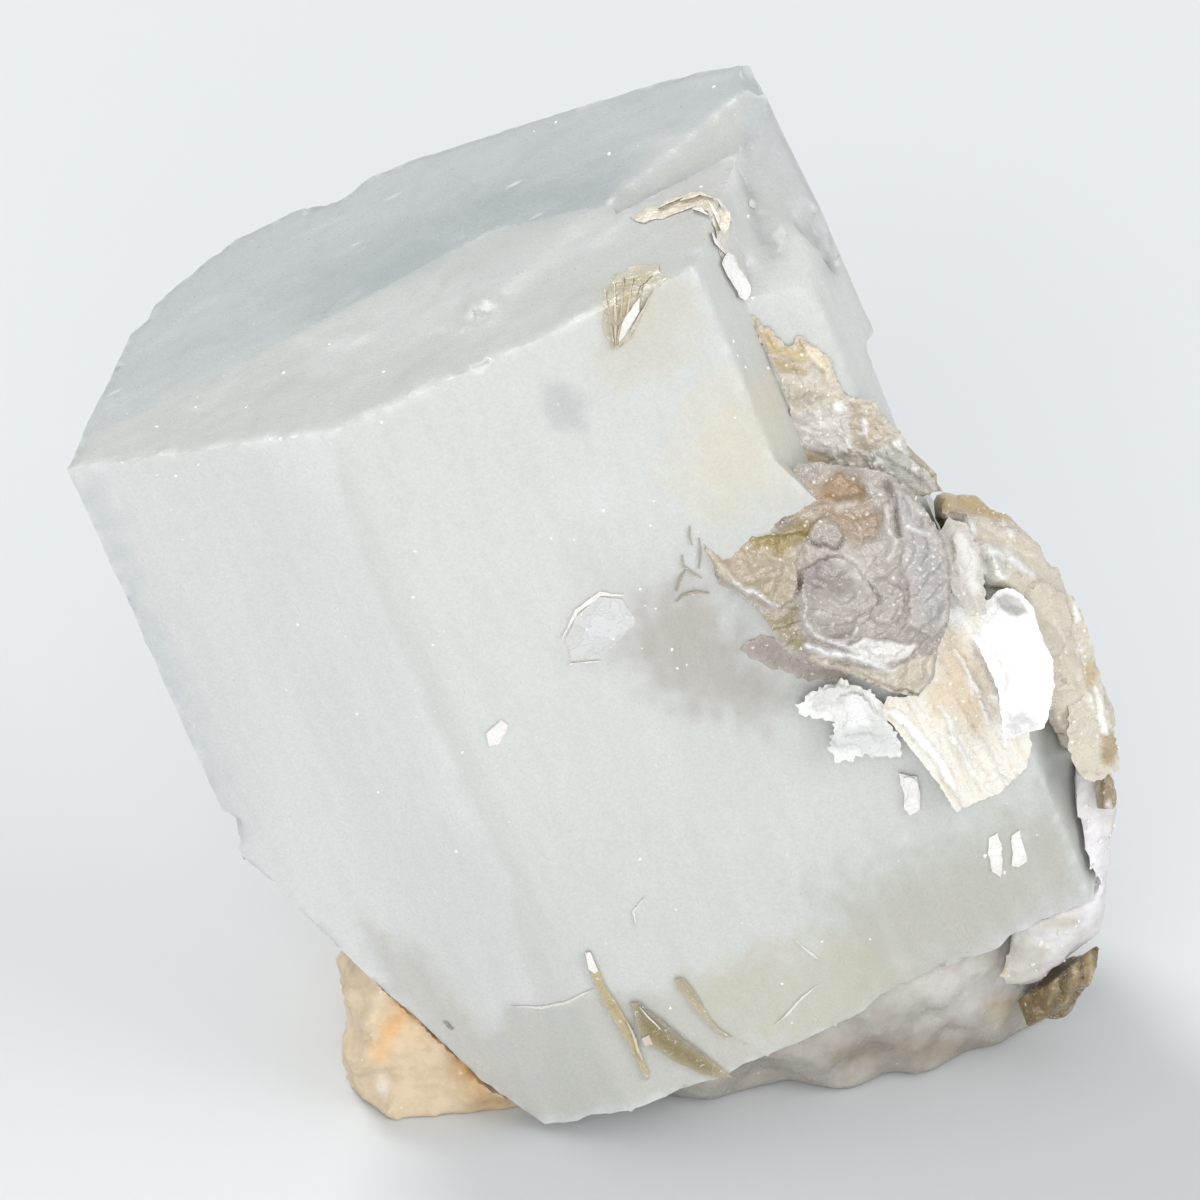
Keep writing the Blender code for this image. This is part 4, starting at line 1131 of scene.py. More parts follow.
THIN_SHEET = [
    (6.37, 6.88), (6.93, 5.89), (7.42, 5.3), (8.55, 4.99), (9.54, 4.93), (10.52, 5.16), (11.79, 5.54),
    (12.36, 6.17), (11.79, 6.45), (10.52, 6.95), (9.54, 7.02), (8.13, 6.95),
]
WEDGE = [
    (6.72, 4.97), (7.42, 5.16), (8.55, 4.76), (9.82, 4.41), (11.23, 4.2), (12.92, 4.48), (13.62, 4.06),
    (13.06, 2.93), (12.92, 1.38), (12.92, 0.25), (11.79, -0.59), (10.67, -0.38), (9.54, 0.46),
    (7.92, 1.24), (7.28, 1.94), (6.9, 2.79), (6.58, 4.06),
]
OLIVE_BAND = [
    (8.2, 5.04), (9.54, 4.83), (10.67, 4.55), (11.79, 4.41), (12.92, 4.76), (14.05, 5.26), (13.62, 4.34),
    (12.64, 3.63), (11.79, 3.07), (10.95, 3.18), (9.96, 3.85), (8.83, 4.34),
]
GREY_FACET = [
    (10.52, 5.26), (11.23, 5.75), (12.64, 5.61), (14.05, 5.33), (12.92, 4.83), (11.79, 4.55),
    (10.81, 4.76),
]
WEDGE_RIM = [
    (6.65, 3.99), (7.11, 3.35), (7.42, 2.51), (7.92, 1.87), (8.97, 1.17), (10.1, 0.46), (11.58, -0.48),
]
WEDGE_RIM_WHITE = [
    (8.69, 1.24), (10.1, 0.46), (11.58, -0.45),
]
BROWN_TOP = [
    (14.19, 6.67), (14.75, 7.58), (15.6, 8.29), (16.58, 8.0), (17.5, 7.58), (17.57, 6.88), (16.58, 6.38),
    (15.46, 6.57), (14.61, 6.31),
]
BROWN_MID = [
    (14.75, 5.75), (16.16, 5.89), (18.28, 5.82), (18.35, 4.76), (17.85, 3.85), (16.58, 3.63),
    (15.88, 4.48), (15.18, 5.04),
]
SUGAR_WHITE_1 = [
    (15.03, 6.31), (15.88, 6.67), (16.8, 6.59), (16.94, 6.1), (16.02, 5.82), (15.32, 5.89),
]
FACET_LILAC = [
    (13.84, 5.11), (14.61, 5.47), (15.6, 4.97), (16.05, 3.99), (15.18, 3.32), (13.77, 3.66), (13.48, 4.34),
]
DOME = [
    (12.99, 1.94), (14.05, 2.58), (15.18, 3.07), (16.3, 2.65), (17.43, 1.52), (18.13, 0.25),
    (17.85, -1.16), (17.01, -1.93), (16.02, -2.74), (15.18, -3.06), (14.05, -2.64), (13.34, -1.65),
    (13.03, -0.31),
]
# the part of the dome painted darker, as shade
DOME_PAINTED_SHADE = [
    (13.2, 1.94), (14.33, 2.72), (14.89, 1.94), (16.16, 1.24), (16.58, 0.25), (15.6, -0.03), (14.33, 0.25),
    (13.34, 0.82),
]
DOME_RIM = [
    (13.13, 0.68), (13.2, -0.88), (13.77, -2.07), (14.75, -2.64), (15.88, -2.71), (16.94, -1.83),
]
SUGAR_WHITE_2 = [
    (15.18, 3.21), (16.16, 3.63), (16.73, 2.51), (17.99, 0.82), (17.99, -0.03), (17.01, 0.68),
    (16.02, 1.94),
]
DOME_RIGHT = [
    (17.43, 1.66), (18.84, 1.38), (19.83, 0.68), (19.97, -0.45), (19.4, -1.58), (18.28, -1.72),
    (17.57, -0.88), (18.13, 0.25),
]
SHEET_RIGHT = [
    (18.63, 8.07), (19.83, 7.37), (21.09, 5.89), (22.43, 3.63), (22.86, 1.38), (22.72, -1.44),
    (21.66, -2.57), (20.11, -1.72), (20.11, 0.53), (19.54, 2.51), (19.19, 4.48), (18.7, 6.17),
]
FOLD_SHADE_1 = [
    (18.7, 7.58), (19.19, 6.17), (19.47, 4.34),
]
FOLD_HIGHLIGHT_1 = [
    (18.56, 6.03), (18.7, 4.76), (19.26, 3.78), (18.84, 2.51),
]
FOLD_HIGHLIGHT_2 = [
    (20.11, 4.83), (20.81, 4.48), (21.52, 4.2),
]
OLIVE_LOW = [
    (10.24, -0.52), (11.79, -0.8), (12.92, -0.1), (13.13, -1.58), (13.84, -2.71), (13.48, -3.48),
    (12.36, -3.2), (11.51, -2.28),
]
RIDGE_1 = [
    (13.62, -2.92), (14.61, -3.48), (15.46, -3.55), (17.29, -3.98), (19.12, -4.54),
]
RIDGE_2 = [
    (14.89, -2.64), (15.74, -2.96), (16.37, -2.99),
]
RIDGE_3 = [
    (16.3, -3.13), (17.71, -3.69), (19.4, -3.98),
]
RIDGE_LONG = [
    (13.77, -3.69), (15.74, -4.33), (17.29, -5.1), (19.12, -6.02), (20.67, -6.37),
]
LOWER_SHEET = [
    (15.88, -4.4), (17.15, -4.89), (19.12, -5.81), (20.81, -6.23), (21.73, -5.1), (21.94, -3.41),
    (20.53, -3.69), (18.56, -4.54), (17.01, -4.4),
]
LOWER_WHITE = [
    (15.6, -3.13), (17.43, -2.28), (19.4, -2.71), (20.81, -2.99), (20.25, -3.83), (18.56, -4.26),
    (17.01, -3.83),
]
CLOUD_SHEET = [
    (9.19, -3.34), (10.52, -2.28), (11.79, -2.71), (12.64, -3.55), (13.77, -4.19), (15.74, -4.47),
    (16.58, -5.1), (13.77, -5.24), (11.79, -4.61), (10.24, -3.91),
]
CURLS = [
    [(5.38, 2.93), (5.42, 2.23), (6.01, 1.77), (6.65, 1.42)],
    [(5.87, 4.83), (5.84, 4.06), (6.01, 3.56)],
    [(5.0, -0.14), (5.45, 0.32), (6.3, 0.53), (7.17, 0.42)],
    [(6.47, 4.06), (6.58, 3.07), (6.47, 2.01)],
    [(5.59, 1.94), (5.24, 1.38), (5.0, 0.53)],
]
SILVER = [
    (24.3, -0.78), (24.86, -0.23), (25.64, 0.0), (26.43, 0.71), (27.22, 0.79), (27.85, 0.24),
    (28.56, -0.55), (28.95, -1.97), (29.82, -4.01), (29.93, -5.59), (29.58, -7.32), (29.27, -8.42),
    (28.32, -8.61), (27.38, -8.93), (26.67, -9.21), (26.43, -7.64), (26.27, -6.06), (25.8, -4.8),
    (25.01, -3.23), (24.23, -1.97),
]
SILVER_TIP = [
    (26.04, 0.08), (26.59, 0.52), (27.3, 0.48), (28.08, -0.39), (28.4, -1.02), (27.06, -1.15),
    (26.43, -0.78),
]
SILVER_SHADE = [
    (26.67, -7.64), (28.01, -7.32), (29.27, -8.11), (28.95, -8.58), (27.38, -8.93), (26.75, -9.05),
]
FAN = [
    (23.09, 1.42), (23.47, 1.34), (24.1, -0.08), (24.9, -1.0), (25.8, -1.9), (26.6, -3.2),
    (27.1, -4.8), (27.3, -6.1), (27.4, -7.6), (27.4, -8.9), (28.32, -8.61),
    (28.6, -9.68), (28.24, -11.1), (27.61, -11.73), (26.43, -12.76), (24.7, -13.47), (23.63, -14.06),
    (23.28, -13.62), (22.34, -12.05), (20.45, -9.68), (18.55, -7.32), (18.87, -6.38), (20.13, -6.38),
    (21.23, -5.59), (22.02, -3.86), (22.34, -2.28), (22.73, -1.49), (22.89, 0.24),
]
FAN_WHITE_TOP = [
    (23.09, 1.42), (23.47, 1.34), (24.1, -0.08), (24.23, -1.34), (25.01, -2.6), (25.64, -4.17),
    (24.7, -3.07), (23.75, -1.65), (22.73, -1.49), (22.89, 0.24),
]
FAN_TAN = [
    (22.34, -2.28), (23.75, -2.28), (24.7, -3.54), (25.33, -5.75), (25.8, -7.95), (24.7, -8.9),
    (23.28, -7.64), (22.02, -7.64), (21.39, -6.38), (22.1, -4.17),
]
FAN_STRIPE = [
    (18.08, -6.77), (19.82, -7.72), (21.39, -9.45), (23.12, -11.73), (23.99, -13.7),
]
FAN_FOLDS = [
    [(22.49, -7.01), (23.44, -9.05), (24.38, -11.1)],
    [(23.75, -9.68), (24.86, -11.89)],
    [(25.33, -9.21), (26.27, -11.1), (27.38, -11.89)],
    [(26.27, -6.38), (26.59, -8.11), (26.9, -9.68)],
    [(24.23, -4.49), (25.17, -6.38), (25.64, -8.11)],
    [(23.12, -2.6), (24.23, -4.8), (24.7, -6.38)],
]
FINGER = [
    (19.74, -11.5), (20.92, -11.7), (21.15, -12.68), (21.15, -13.86), (20.52, -14.28), (20.13, -13.81),
    (20.21, -12.84),
]
SHELL_GOLD = [
    (20.45, 6.85), (21.39, 7.09), (22.65, 7.01), (24.86, 7.17), (26.27, 6.38), (27.69, 5.28),
    (26.43, 5.36), (24.86, 5.67), (22.97, 5.88), (21.39, 5.88),
]
SHELL_POCKET = [
    (21.15, 5.75), (22.65, 5.44), (23.75, 5.0), (23.99, 4.46), (23.2, 4.1), (22.78, 3.63), (22.26, 4.26),
]
POCKET_GOLD = [
    (22.26, 5.12), (23.36, 4.89), (23.2, 4.26), (22.73, 3.94),
]
SHELL_FLAP = [
    (23.75, 5.59), (24.78, 5.44), (24.93, 4.81), (24.7, 3.94), (24.23, 4.33),
]
SHELL_STREAKS = [
    [(25.01, 3.86), (25.8, 3.23), (26.75, 2.92)],
    [(26.9, 3.55), (27.38, 2.6), (28.64, 1.74)],
    [(24.23, 1.66), (25.01, 0.55), (25.49, 0.24)],
    [(26.75, 5.04), (27.3, 4.41)],
    [(24.7, 2.6), (25.33, 1.81)],
    [(25.8, 2.6), (26.59, 1.5)],
]
SHELL_SILVER = [
    (22.65, 3.86), (24.86, 4.02), (26.9, 3.55), (28.79, 1.97), (28.79, 1.5), (27.38, 1.66), (26.59, 1.03),
    (25.64, 0.08), (24.38, -0.55), (23.6, 1.03), (22.89, 2.6),
]
SHELL_EDGE_FLECKS = [
    [(31.16, 0.08), (31.71, -0.39), (32.1, -1.49), (31.63, -1.84), (31.35, -1.02)],
    [(31.63, -2.28), (32.1, -2.91), (32.18, -3.62), (31.79, -3.46)],
    [(32.34, -6.06), (32.73, -6.38), (32.89, -7.32), (32.5, -7.4)],
    [(32.65, -5.12), (33.2, -5.75), (33.68, -7.32), (34.07, -9.21), (33.36, -8.9), (33.05, -7.64)],
]
SHELL_BRIDGE = [
    (22.3, 4.4), (22.9, 5.4), (24.0, 5.0), (24.9, 3.2), (25.2, 1.2), (25.4, -0.9), (24.4, -1.0), (23.2, 0.4),
    (22.5, 2.4),
]
SHELL_EDGE = [
    (30.6, 0.6), (31.4, 0.2), (32.3, -2.0), (33.0, -4.4), (33.7, -7.2), (34.3, -9.8), (34.5, -11.4),
    (32.5, -12.0), (31.5, -11.0), (31.1, -9.4), (31.3, -6.4), (31.2, -4.0), (30.8, -2.0),
]
SHELL_BROWN_EDGE = [
    (32.1, -7.32), (32.89, -7.79), (32.73, -8.9), (32.1, -9.21),
]
SHELL_CREAM = [
    (30.84, -7.01), (31.94, -7.32), (32.34, -9.21), (33.52, -9.21), (33.76, -10.0), (33.2, -11.89),
    (32.97, -13.94), (32.1, -12.05), (31.24, -9.84),
]
EDGE_BROWN = [
    (33.76, -9.53), (34.23, -9.37), (34.65, -11.42), (34.78, -13.31), (34.46, -14.88), (33.52, -14.57),
    (33.02, -14.25), (33.13, -12.21), (33.6, -10.79),
]
EDGE_SPARK = [
    (33.6, -13.47), (34.07, -13.31), (34.39, -13.94), (33.76, -14.17),
]
CLUSTER_OUTLINE = [
    (9.78, 18.49), (10.33, 18.17), (10.51, 17.77), (11.06, 17.77), (11.38, 17.16), (12.02, 16.62),
    (12.52, 16.52), (12.84, 17.12), (13.16, 17.18), (13.52, 16.77), (14.25, 16.37), (14.94, 15.84),
    (15.19, 15.2), (15.67, 13.74), (16.4, 13.2), (17.86, 13.01), (18.9, 11.65), (19.95, 10.73),
    (20.32, 9.37), (21.78, 8.09), (22.6, 7.18), (20.96, 6.9), (19.13, 7.54), (18.04, 8.36), (16.03, 8.73),
    (14.57, 8.18), (12.93, 8.45), (12.61, 9.27), (12.66, 10.64), (12.47, 12.47), (11.84, 14.47),
    (11.29, 15.48), (10.47, 16.84), (10.06, 17.76),
]
GOLD_UPPER = [
    (9.78, 18.49), (10.29, 18.21), (10.47, 17.76), (11.11, 17.76), (11.38, 17.12), (12.02, 16.57),
    (12.57, 16.48), (12.84, 17.12), (13.48, 16.75), (13.66, 15.2), (12.93, 15.48), (12.2, 15.79),
    (11.02, 15.89), (10.47, 16.84), (10.1, 17.66),
]
GOLD_MID = [
    (10.97, 15.91), (12.11, 15.84), (12.93, 15.48), (13.48, 15.2), (13.77, 14.84), (13.3, 14.61),
    (12.57, 14.75), (11.93, 14.55), (11.38, 15.2),
]
CREAM_LEAF = [
    (12.75, 17.12), (13.11, 17.16), (13.48, 16.75), (14.21, 16.39), (14.94, 15.84), (15.16, 15.2),
    (15.16, 14.11), (14.75, 14.02), (14.48, 14.75), (13.66, 15.66), (13.2, 16.21),
]
CLUSTER_WHITES = [
    [(12.38, 14.67), (12.75, 14.73), (12.86, 14.52), (12.52, 14.49)],
    [(13.37, 14.73), (13.57, 14.76), (13.93, 14.24), (14.62, 13.85), (14.48, 13.79), (13.93, 14.11),
     (13.57, 14.34)],
    [(14.94, 12.83), (15.85, 12.94), (16.21, 12.65), (16.12, 12.1), (15.67, 11.96), (15.3, 12.1)],
    [(15.3, 11.69), (15.67, 11.46), (16.12, 10.64), (16.76, 9.96), (16.72, 9.46), (16.3, 9.87),
     (15.85, 10.64)],
    [(16.96, 12.06), (17.35, 12.08), (17.75, 11.46), (17.63, 10.41), (17.35, 10.6), (17.05, 11.37)],
    [(14.02, 12.03), (14.48, 12.1), (14.68, 11.55), (14.3, 11.33)],
    [(19.0, 10.51), (19.86, 10.64), (19.97, 9.87), (20.15, 9.37), (19.77, 9.59), (19.13, 9.91)],
    [(17.58, 8.91), (18.22, 9.37), (18.68, 8.91), (18.04, 8.59)],
]
CLUSTER_GREY = [
    (11.93, 14.47), (12.57, 14.38), (13.48, 14.11), (14.57, 13.83), (14.94, 13.38), (14.57, 13.01),
    (13.66, 12.65), (12.75, 12.47), (12.29, 13.38),
]
CLUSTER_SILVER = [
    (12.75, 12.28), (14.21, 12.74), (15.48, 12.92), (16.26, 12.79), (16.44, 11.74), (16.78, 9.91),
    (16.4, 9.41), (15.03, 9.18), (13.66, 9.82), (12.75, 10.19), (12.64, 11.19),
]
CLUSTER_BEIGE = [
    (16.26, 13.01), (17.86, 13.01), (18.95, 11.55), (18.77, 10.19), (17.76, 9.87), (16.85, 10.19),
    (16.4, 11.55),
]
CLUSTER_PALE = [
    (16.76, 9.73), (18.77, 10.09), (20.04, 10.64), (21.87, 8.0), (22.6, 7.09), (20.04, 7.54),
    (18.04, 8.45),
]
GOLD_LOW = [
    (12.75, 10.09), (13.66, 9.64), (14.75, 9.18), (14.57, 8.27), (12.93, 8.54), (12.64, 9.27),
]
CREST_FLAP = [
    (7.86, 21.8), (8.25, 22.51), (8.67, 22.37), (8.88, 21.66), (9.51, 20.82), (9.8, 20.11), (9.44, 19.46),
    (9.09, 19.69), (8.67, 20.39), (8.25, 21.03),
]
CREST_LINES = [
    [(5.22, 25.96), (5.71, 26.24), (6.48, 26.45), (7.33, 26.1)],
    [(5.99, 25.43), (6.48, 25.33), (6.98, 24.97)],
    [(6.98, 25.96), (7.61, 24.83), (7.86, 23.92)],
    [(7.61, 26.03), (8.11, 25.33), (8.61, 24.54)],
    [(7.26, 23.78), (7.54, 23.14), (8.18, 22.44)],
    [(3.74, 25.47), (4.44, 25.96), (5.43, 26.24)],
]
PIT_SPARK = [
    (9.69, 25.96), (9.87, 26.24), (10.18, 25.96), (10.18, 25.57), (9.8, 25.68),
]
BLADE_THIN = [
    (-0.98, -23.34), (-0.64, -23.32), (-0.17, -24.34), (0.38, -25.71), (1.13, -26.83), (1.75, -27.94),
    (2.27, -29.06), (2.56, -30.06), (2.93, -30.81), (3.27, -31.55), (3.15, -32.05), (2.69, -31.18),
    (2.13, -30.06), (1.32, -28.57), (0.38, -26.95), (-0.3, -25.58), (-0.73, -24.46),
]
BLADE_OLIVE = [
    (1.98, -26.76), (2.52, -26.73), (3.24, -27.45), (4.36, -28.32), (5.61, -29.44), (7.1, -30.46),
    (8.34, -31.45), (8.97, -31.92), (7.97, -31.9), (6.85, -31.65), (6.11, -31.3), (4.86, -30.68),
    (3.62, -29.84), (2.87, -29.13), (2.37, -28.38), (2.29, -27.32),
]
BLADE_SHORT = [
    (4.96, -25.16), (5.48, -25.18), (6.11, -25.96), (6.75, -26.89), (7.35, -27.94), (7.97, -28.63),
    (8.78, -29.13), (8.22, -29.13), (7.35, -28.38), (6.29, -27.26), (5.36, -26.02),
]
BLADE_TIP_WHITE = [
    (-0.98, -23.34), (-0.64, -23.32), (-0.11, -24.59), (-0.36, -24.77), (-0.73, -24.46),
]
BLADE_GLINT = [
    (2.62, -27.01), (3.24, -27.76), (4.18, -28.69),
]
BLADE_SPOT = [
    (2.75, -29.19), (3.24, -28.94), (3.52, -29.56), (3.0, -29.71),
]
LOW_MARKS = [
    [(11.7, -28.32), (12.57, -27.57), (13.57, -26.45), (14.5, -25.68)],
    [(12.94, -22.6), (13.94, -23.47), (14.81, -24.15)],
    [(8.84, -29.19), (9.84, -29.69)],
]
CLUSTER_GLINTS = [
    (14.3, 11.3, 0.35), (15.7, 12.9, 0.3), (17.2, 10.8, 0.4), (13.6, 10.6, 0.3), (14.8, 10.2, 0.35),
    (18.3, 10.6, 0.3), (20.6, 8.6, 0.4), (16.4, 8.9, 0.3), (13.9, 13.2, 0.25), (19.2, 8.4, 0.3),
]
FELDSPAR_ORANGE = [
    (-12.85, -26.1), (-12.54, -26.23), (-11.98, -27.1), (-11.98, -27.47), (-12.48, -27.41),
    (-12.79, -26.85),
]
FELDSPAR_BRANCHES = [
    [(-12.6, -26.85), (-13.35, -27.72), (-13.91, -28.4)],
    [(-14.1, -28.84), (-14.59, -29.71), (-14.78, -30.39)],
    [(-12.23, -27.22), (-11.24, -28.09), (-10.55, -29.03)],
    [(-9.74, -29.34), (-9.12, -30.83), (-8.25, -31.82)],
]
FELDSPAR_TAN = [
    (-9.87, -29.09), (-9.0, -30.58), (-7.51, -32.2), (-5.89, -34.19), (-7.01, -34.31), (-8.5, -33.94),
    (-9.62, -31.82),
]
FELDSPAR_TIP = [
    (-15.71, -21.87), (-15.15, -22.37), (-14.47, -23.86), (-15.34, -24.36), (-16.02, -24.24),
    (-16.02, -22.87),
]
FELDSPAR_WHITE = [
    (-15.03, -31.57), (-14.22, -31.7), (-14.16, -32.94), (-14.59, -33.63), (-14.94, -33.07),
]
DARK_SPECK = [
    (-10.51, -28.15), (-10.24, -28.15), (-9.77, -28.61), (-9.89, -28.74), (-10.24, -28.47),
]
WHITE_FAN = [
    (12.9, -7.0), (14.3, -6.0), (15.8, -5.4), (17.0, -5.6), (17.9, -6.1), (18.5, -6.9), (19.5, -9.0),
    (19.8, -10.3), (18.5, -10.1), (17.5, -10.2), (16.6, -10.4), (15.8, -10.7), (15.1, -10.0), (15.5, -8.0),
    (14.4, -7.7), (13.4, -7.4),
]
FLECKS = [
    [(25.9, -15.9), (26.4, -15.5), (26.7, -16.2), (26.8, -17.7), (26.7, -18.5), (26.1, -18.1), (25.9, -16.9)],
    [(27.4, -15.7), (27.9, -15.3), (28.5, -17.4), (27.9, -17.8), (27.5, -17.7)],
    [(-7.4, -8.8), (-6.5, -7.9), (-6.0, -8.2), (-6.6, -9.4), (-7.2, -9.6)],
]
CREST_ARC = [
    (2.0, 24.8), (3.1, 25.5), (4.4, 26.0), (6.1, 26.5), (7.3, 26.2), (8.1, 25.5), (8.5, 24.6), (8.1, 23.7),
    (7.7, 24.3), (7.0, 25.2), (6.1, 25.5), (4.9, 25.2), (4.0, 24.8), (2.9, 24.6),
]
CREST_LEG = [
    (7.3, 25.1), (8.1, 24.6), (8.5, 23.7), (8.3, 22.8), (9.0, 22.0), (9.6, 20.5), (9.6, 19.6), (9.0, 19.8),
    (8.3, 21.3), (7.7, 22.5), (7.5, 23.7),
]
SPRAY = [
    (0.4, 19.5), (0.8, 20.7), (2.0, 21.4), (3.6, 21.6), (4.2, 20.9), (3.2, 19.8), (2.6, 18.3), (1.6, 16.6),
    (0.8, 16.1), (0.3, 17.4),
]
SPRAY_STREAK = [(1.2, 16.6), (1.4, 17.8), (2.2, 19.0), (2.6, 19.5), (2.5, 18.6), (1.8, 17.4)]
SCALLOP_RIMS = [
    [(-6.0, -27.0), (-3.9, -27.1), (-2.1, -26.7), (-0.5, -25.8)],
    [(3.0, -19.6), (2.2, -20.6), (2.4, -21.6)],
]


# ---- slabs of mica ----

def slab(outline, depth, facing, thickness, *, spacing=0.16, taper=0.2, rib=0.5, fray=0.08, seed=1):
    """A bmesh slab with its front on a plane, and the ribbed wall of a cleaved book behind the rim."""
    rng = random.Random(seed)
    rim = frayed(outline, spacing * 1.3, fray, rng)
    border_mark = Mark("sheet", [tuple(point) for point in rim], (0, 0, 0))
    low, high = border_mark.low, border_mark.high
    inner = [Vector(spot) for spot in net_points(low, high, spacing, 0.25, rng)
             if border_mark.depth_inside(*spot) > 0.55 * spacing]
    found = delaunay_2d_cdt(rim + inner, [], [list(range(len(rim)))], 1, 1e-5)
    points, triangles = found[0], found[2]
    middle = (sum(x for x, _ in outline) / len(outline), sum(y for _, y in outline) / len(outline))
    front = plane_front((*middle, depth), facing)
    bm = bmesh.new()
    used = sorted({index for triangle in triangles for index in triangle})
    vert_at = {i: bm.verts.new(SIGHT @ Vector((*points[i], front(*points[i])))) for i in used}
    for triangle in triangles:
        bm.faces.new([vert_at[index] for index in triangle])
    follows = dict(border_of(triangles))
    start = min(follows)
    ring = [start]
    while follows[ring[-1]] != start:
        ring.append(follows[ring[-1]])
    count = max(2, round(thickness / rib))
    above = [vert_at[index] for index in ring]
    for level in range(1, count + 1):
        shift = rng.uniform(-0.16, 0.16)
        below = []
        for number, index in enumerate(ring):
            before, after = points[ring[number - 2]], points[ring[(number + 2) % len(ring)]]
            inward = Vector((before.y - after.y, after.x - before.x)).normalized()
            inset = taper * thickness * level / count + shift + 0.12 * fog((*points[index], level * 2.3), 0.8)
            spot = points[index] + inward * max(0.0, inset)
            below.append(bm.verts.new(SIGHT @ Vector((*spot, front(*spot) - thickness * level / count))))
        for number in range(len(ring)):
            other = (number + 1) % len(ring)
            bm.faces.new((above[other], above[number], below[number], below[other]))
        above = below
    base = bm.faces.new(list(reversed(above)))
    bmesh.ops.triangulate(bm, faces=[base], ngon_method="EAR_CLIP")
    return bm


def sheet_finish(name, *, gloss=0.3, painted_glints=0.10, wrinkle=0.10, mottle=0.16, sheets=0.35, shade=0.84):
    """Pearly cleavage sheets whose colour is in their own attribute: thin-rimmed with a painted rim
    highlight, creased, with painted glints.
    """
    made, tree, shader, _ = shader_of(name)
    sight = place_in(tree, SIGHT)
    tint = add(tree, "ShaderNodeAttribute", attribute_name="tint").outputs["Color"]
    cloudy = noise_value(tree, sight, 0.9, 3.0, 0.65)
    deeper = tinted(tree, tint, (0.74, 0.71, 0.67))
    base = blend(tree, ramp(tree, cloudy, 0.42, 0.75, 0.0, mottle * 3.0), tint, deeper)
    tone, rim, step = sheet_edges(tree, sight, 0.33, 12.0, 0.09)
    base = blend(tree, maths(tree, "MULTIPLY", tone, sheets), base, deeper)
    base = tinted(tree, base, (shade, shade, shade))
    # the sheet rims are painted brighter, as a painted highlight
    base = blend(tree, maths(tree, "MULTIPLY", rim, sheets * 1.8), base, (0.93, 0.91, 0.87, 1.0))
    # painted glints: white spots standing for light glinting off the sheets
    glint_spots = speckle(tree, sight, 2.3, painted_glints, 0.34)
    base = blend(tree, glint_spots, base, (0.97, 0.96, 0.93, 1.0))
    tree.links.new(base, shader.inputs["Base Color"])
    tree.links.new(ramp(tree, cloudy, 0.3, 0.7, gloss - 0.10, gloss + 0.14), shader.inputs["Roughness"])
    shader.inputs["Coat Weight"].default_value = 0.3
    shader.inputs["Coat Roughness"].default_value = 0.2
    shader.inputs["IOR"].default_value = MICA_IOR
    creases = maths(tree, "ADD", noise_value(tree, sight, 2.0, 3.0, 0.7), maths(tree, "MULTIPLY", step, 0.7))
    bump(tree, shader, creases, wrinkle, 0.7)
    return made


def mica_mesh(name, bm, finish):
    mesh = mesh_of(name, bm)
    mesh.materials.append(finish)
    return mesh


def mica_piece(name, node, meshes, smooth_deg=50):
    return finish_piece(joined(name, meshes), [node], smooth_deg)


LILAC = display(178, 168, 160)
LILAC_PALE = display(196, 189, 186)
# a darker lilac, painted as shade on the dome
LILAC_PAINTED_SHADE = display(148, 137, 134)
MAUVE = display(198, 182, 158)
OLIVE = display(172, 150, 80)
OLIVE_PALE = display(204, 201, 180)
RUST = display(160, 120, 76)
BEIGE = display(216, 205, 186)
# pearl white: the colour of pale mica, and of painted highlights on some folds
PEARL_AND_HIGHLIGHT = (0.97, 0.95, 0.915)
# a white above 1: the colour of white mica, and of painted highlights and reflections where sheets catch the
# light
WHITE_AND_HIGHLIGHT = (1.12, 1.11, 1.10)
# cream: the colour of cream mica, and of painted highlights on some ridges
CREAM_AND_HIGHLIGHT = display(243, 230, 208)
GREY_MICA = display(140, 131, 125)
SHELL_BODY = display(226, 215, 194)


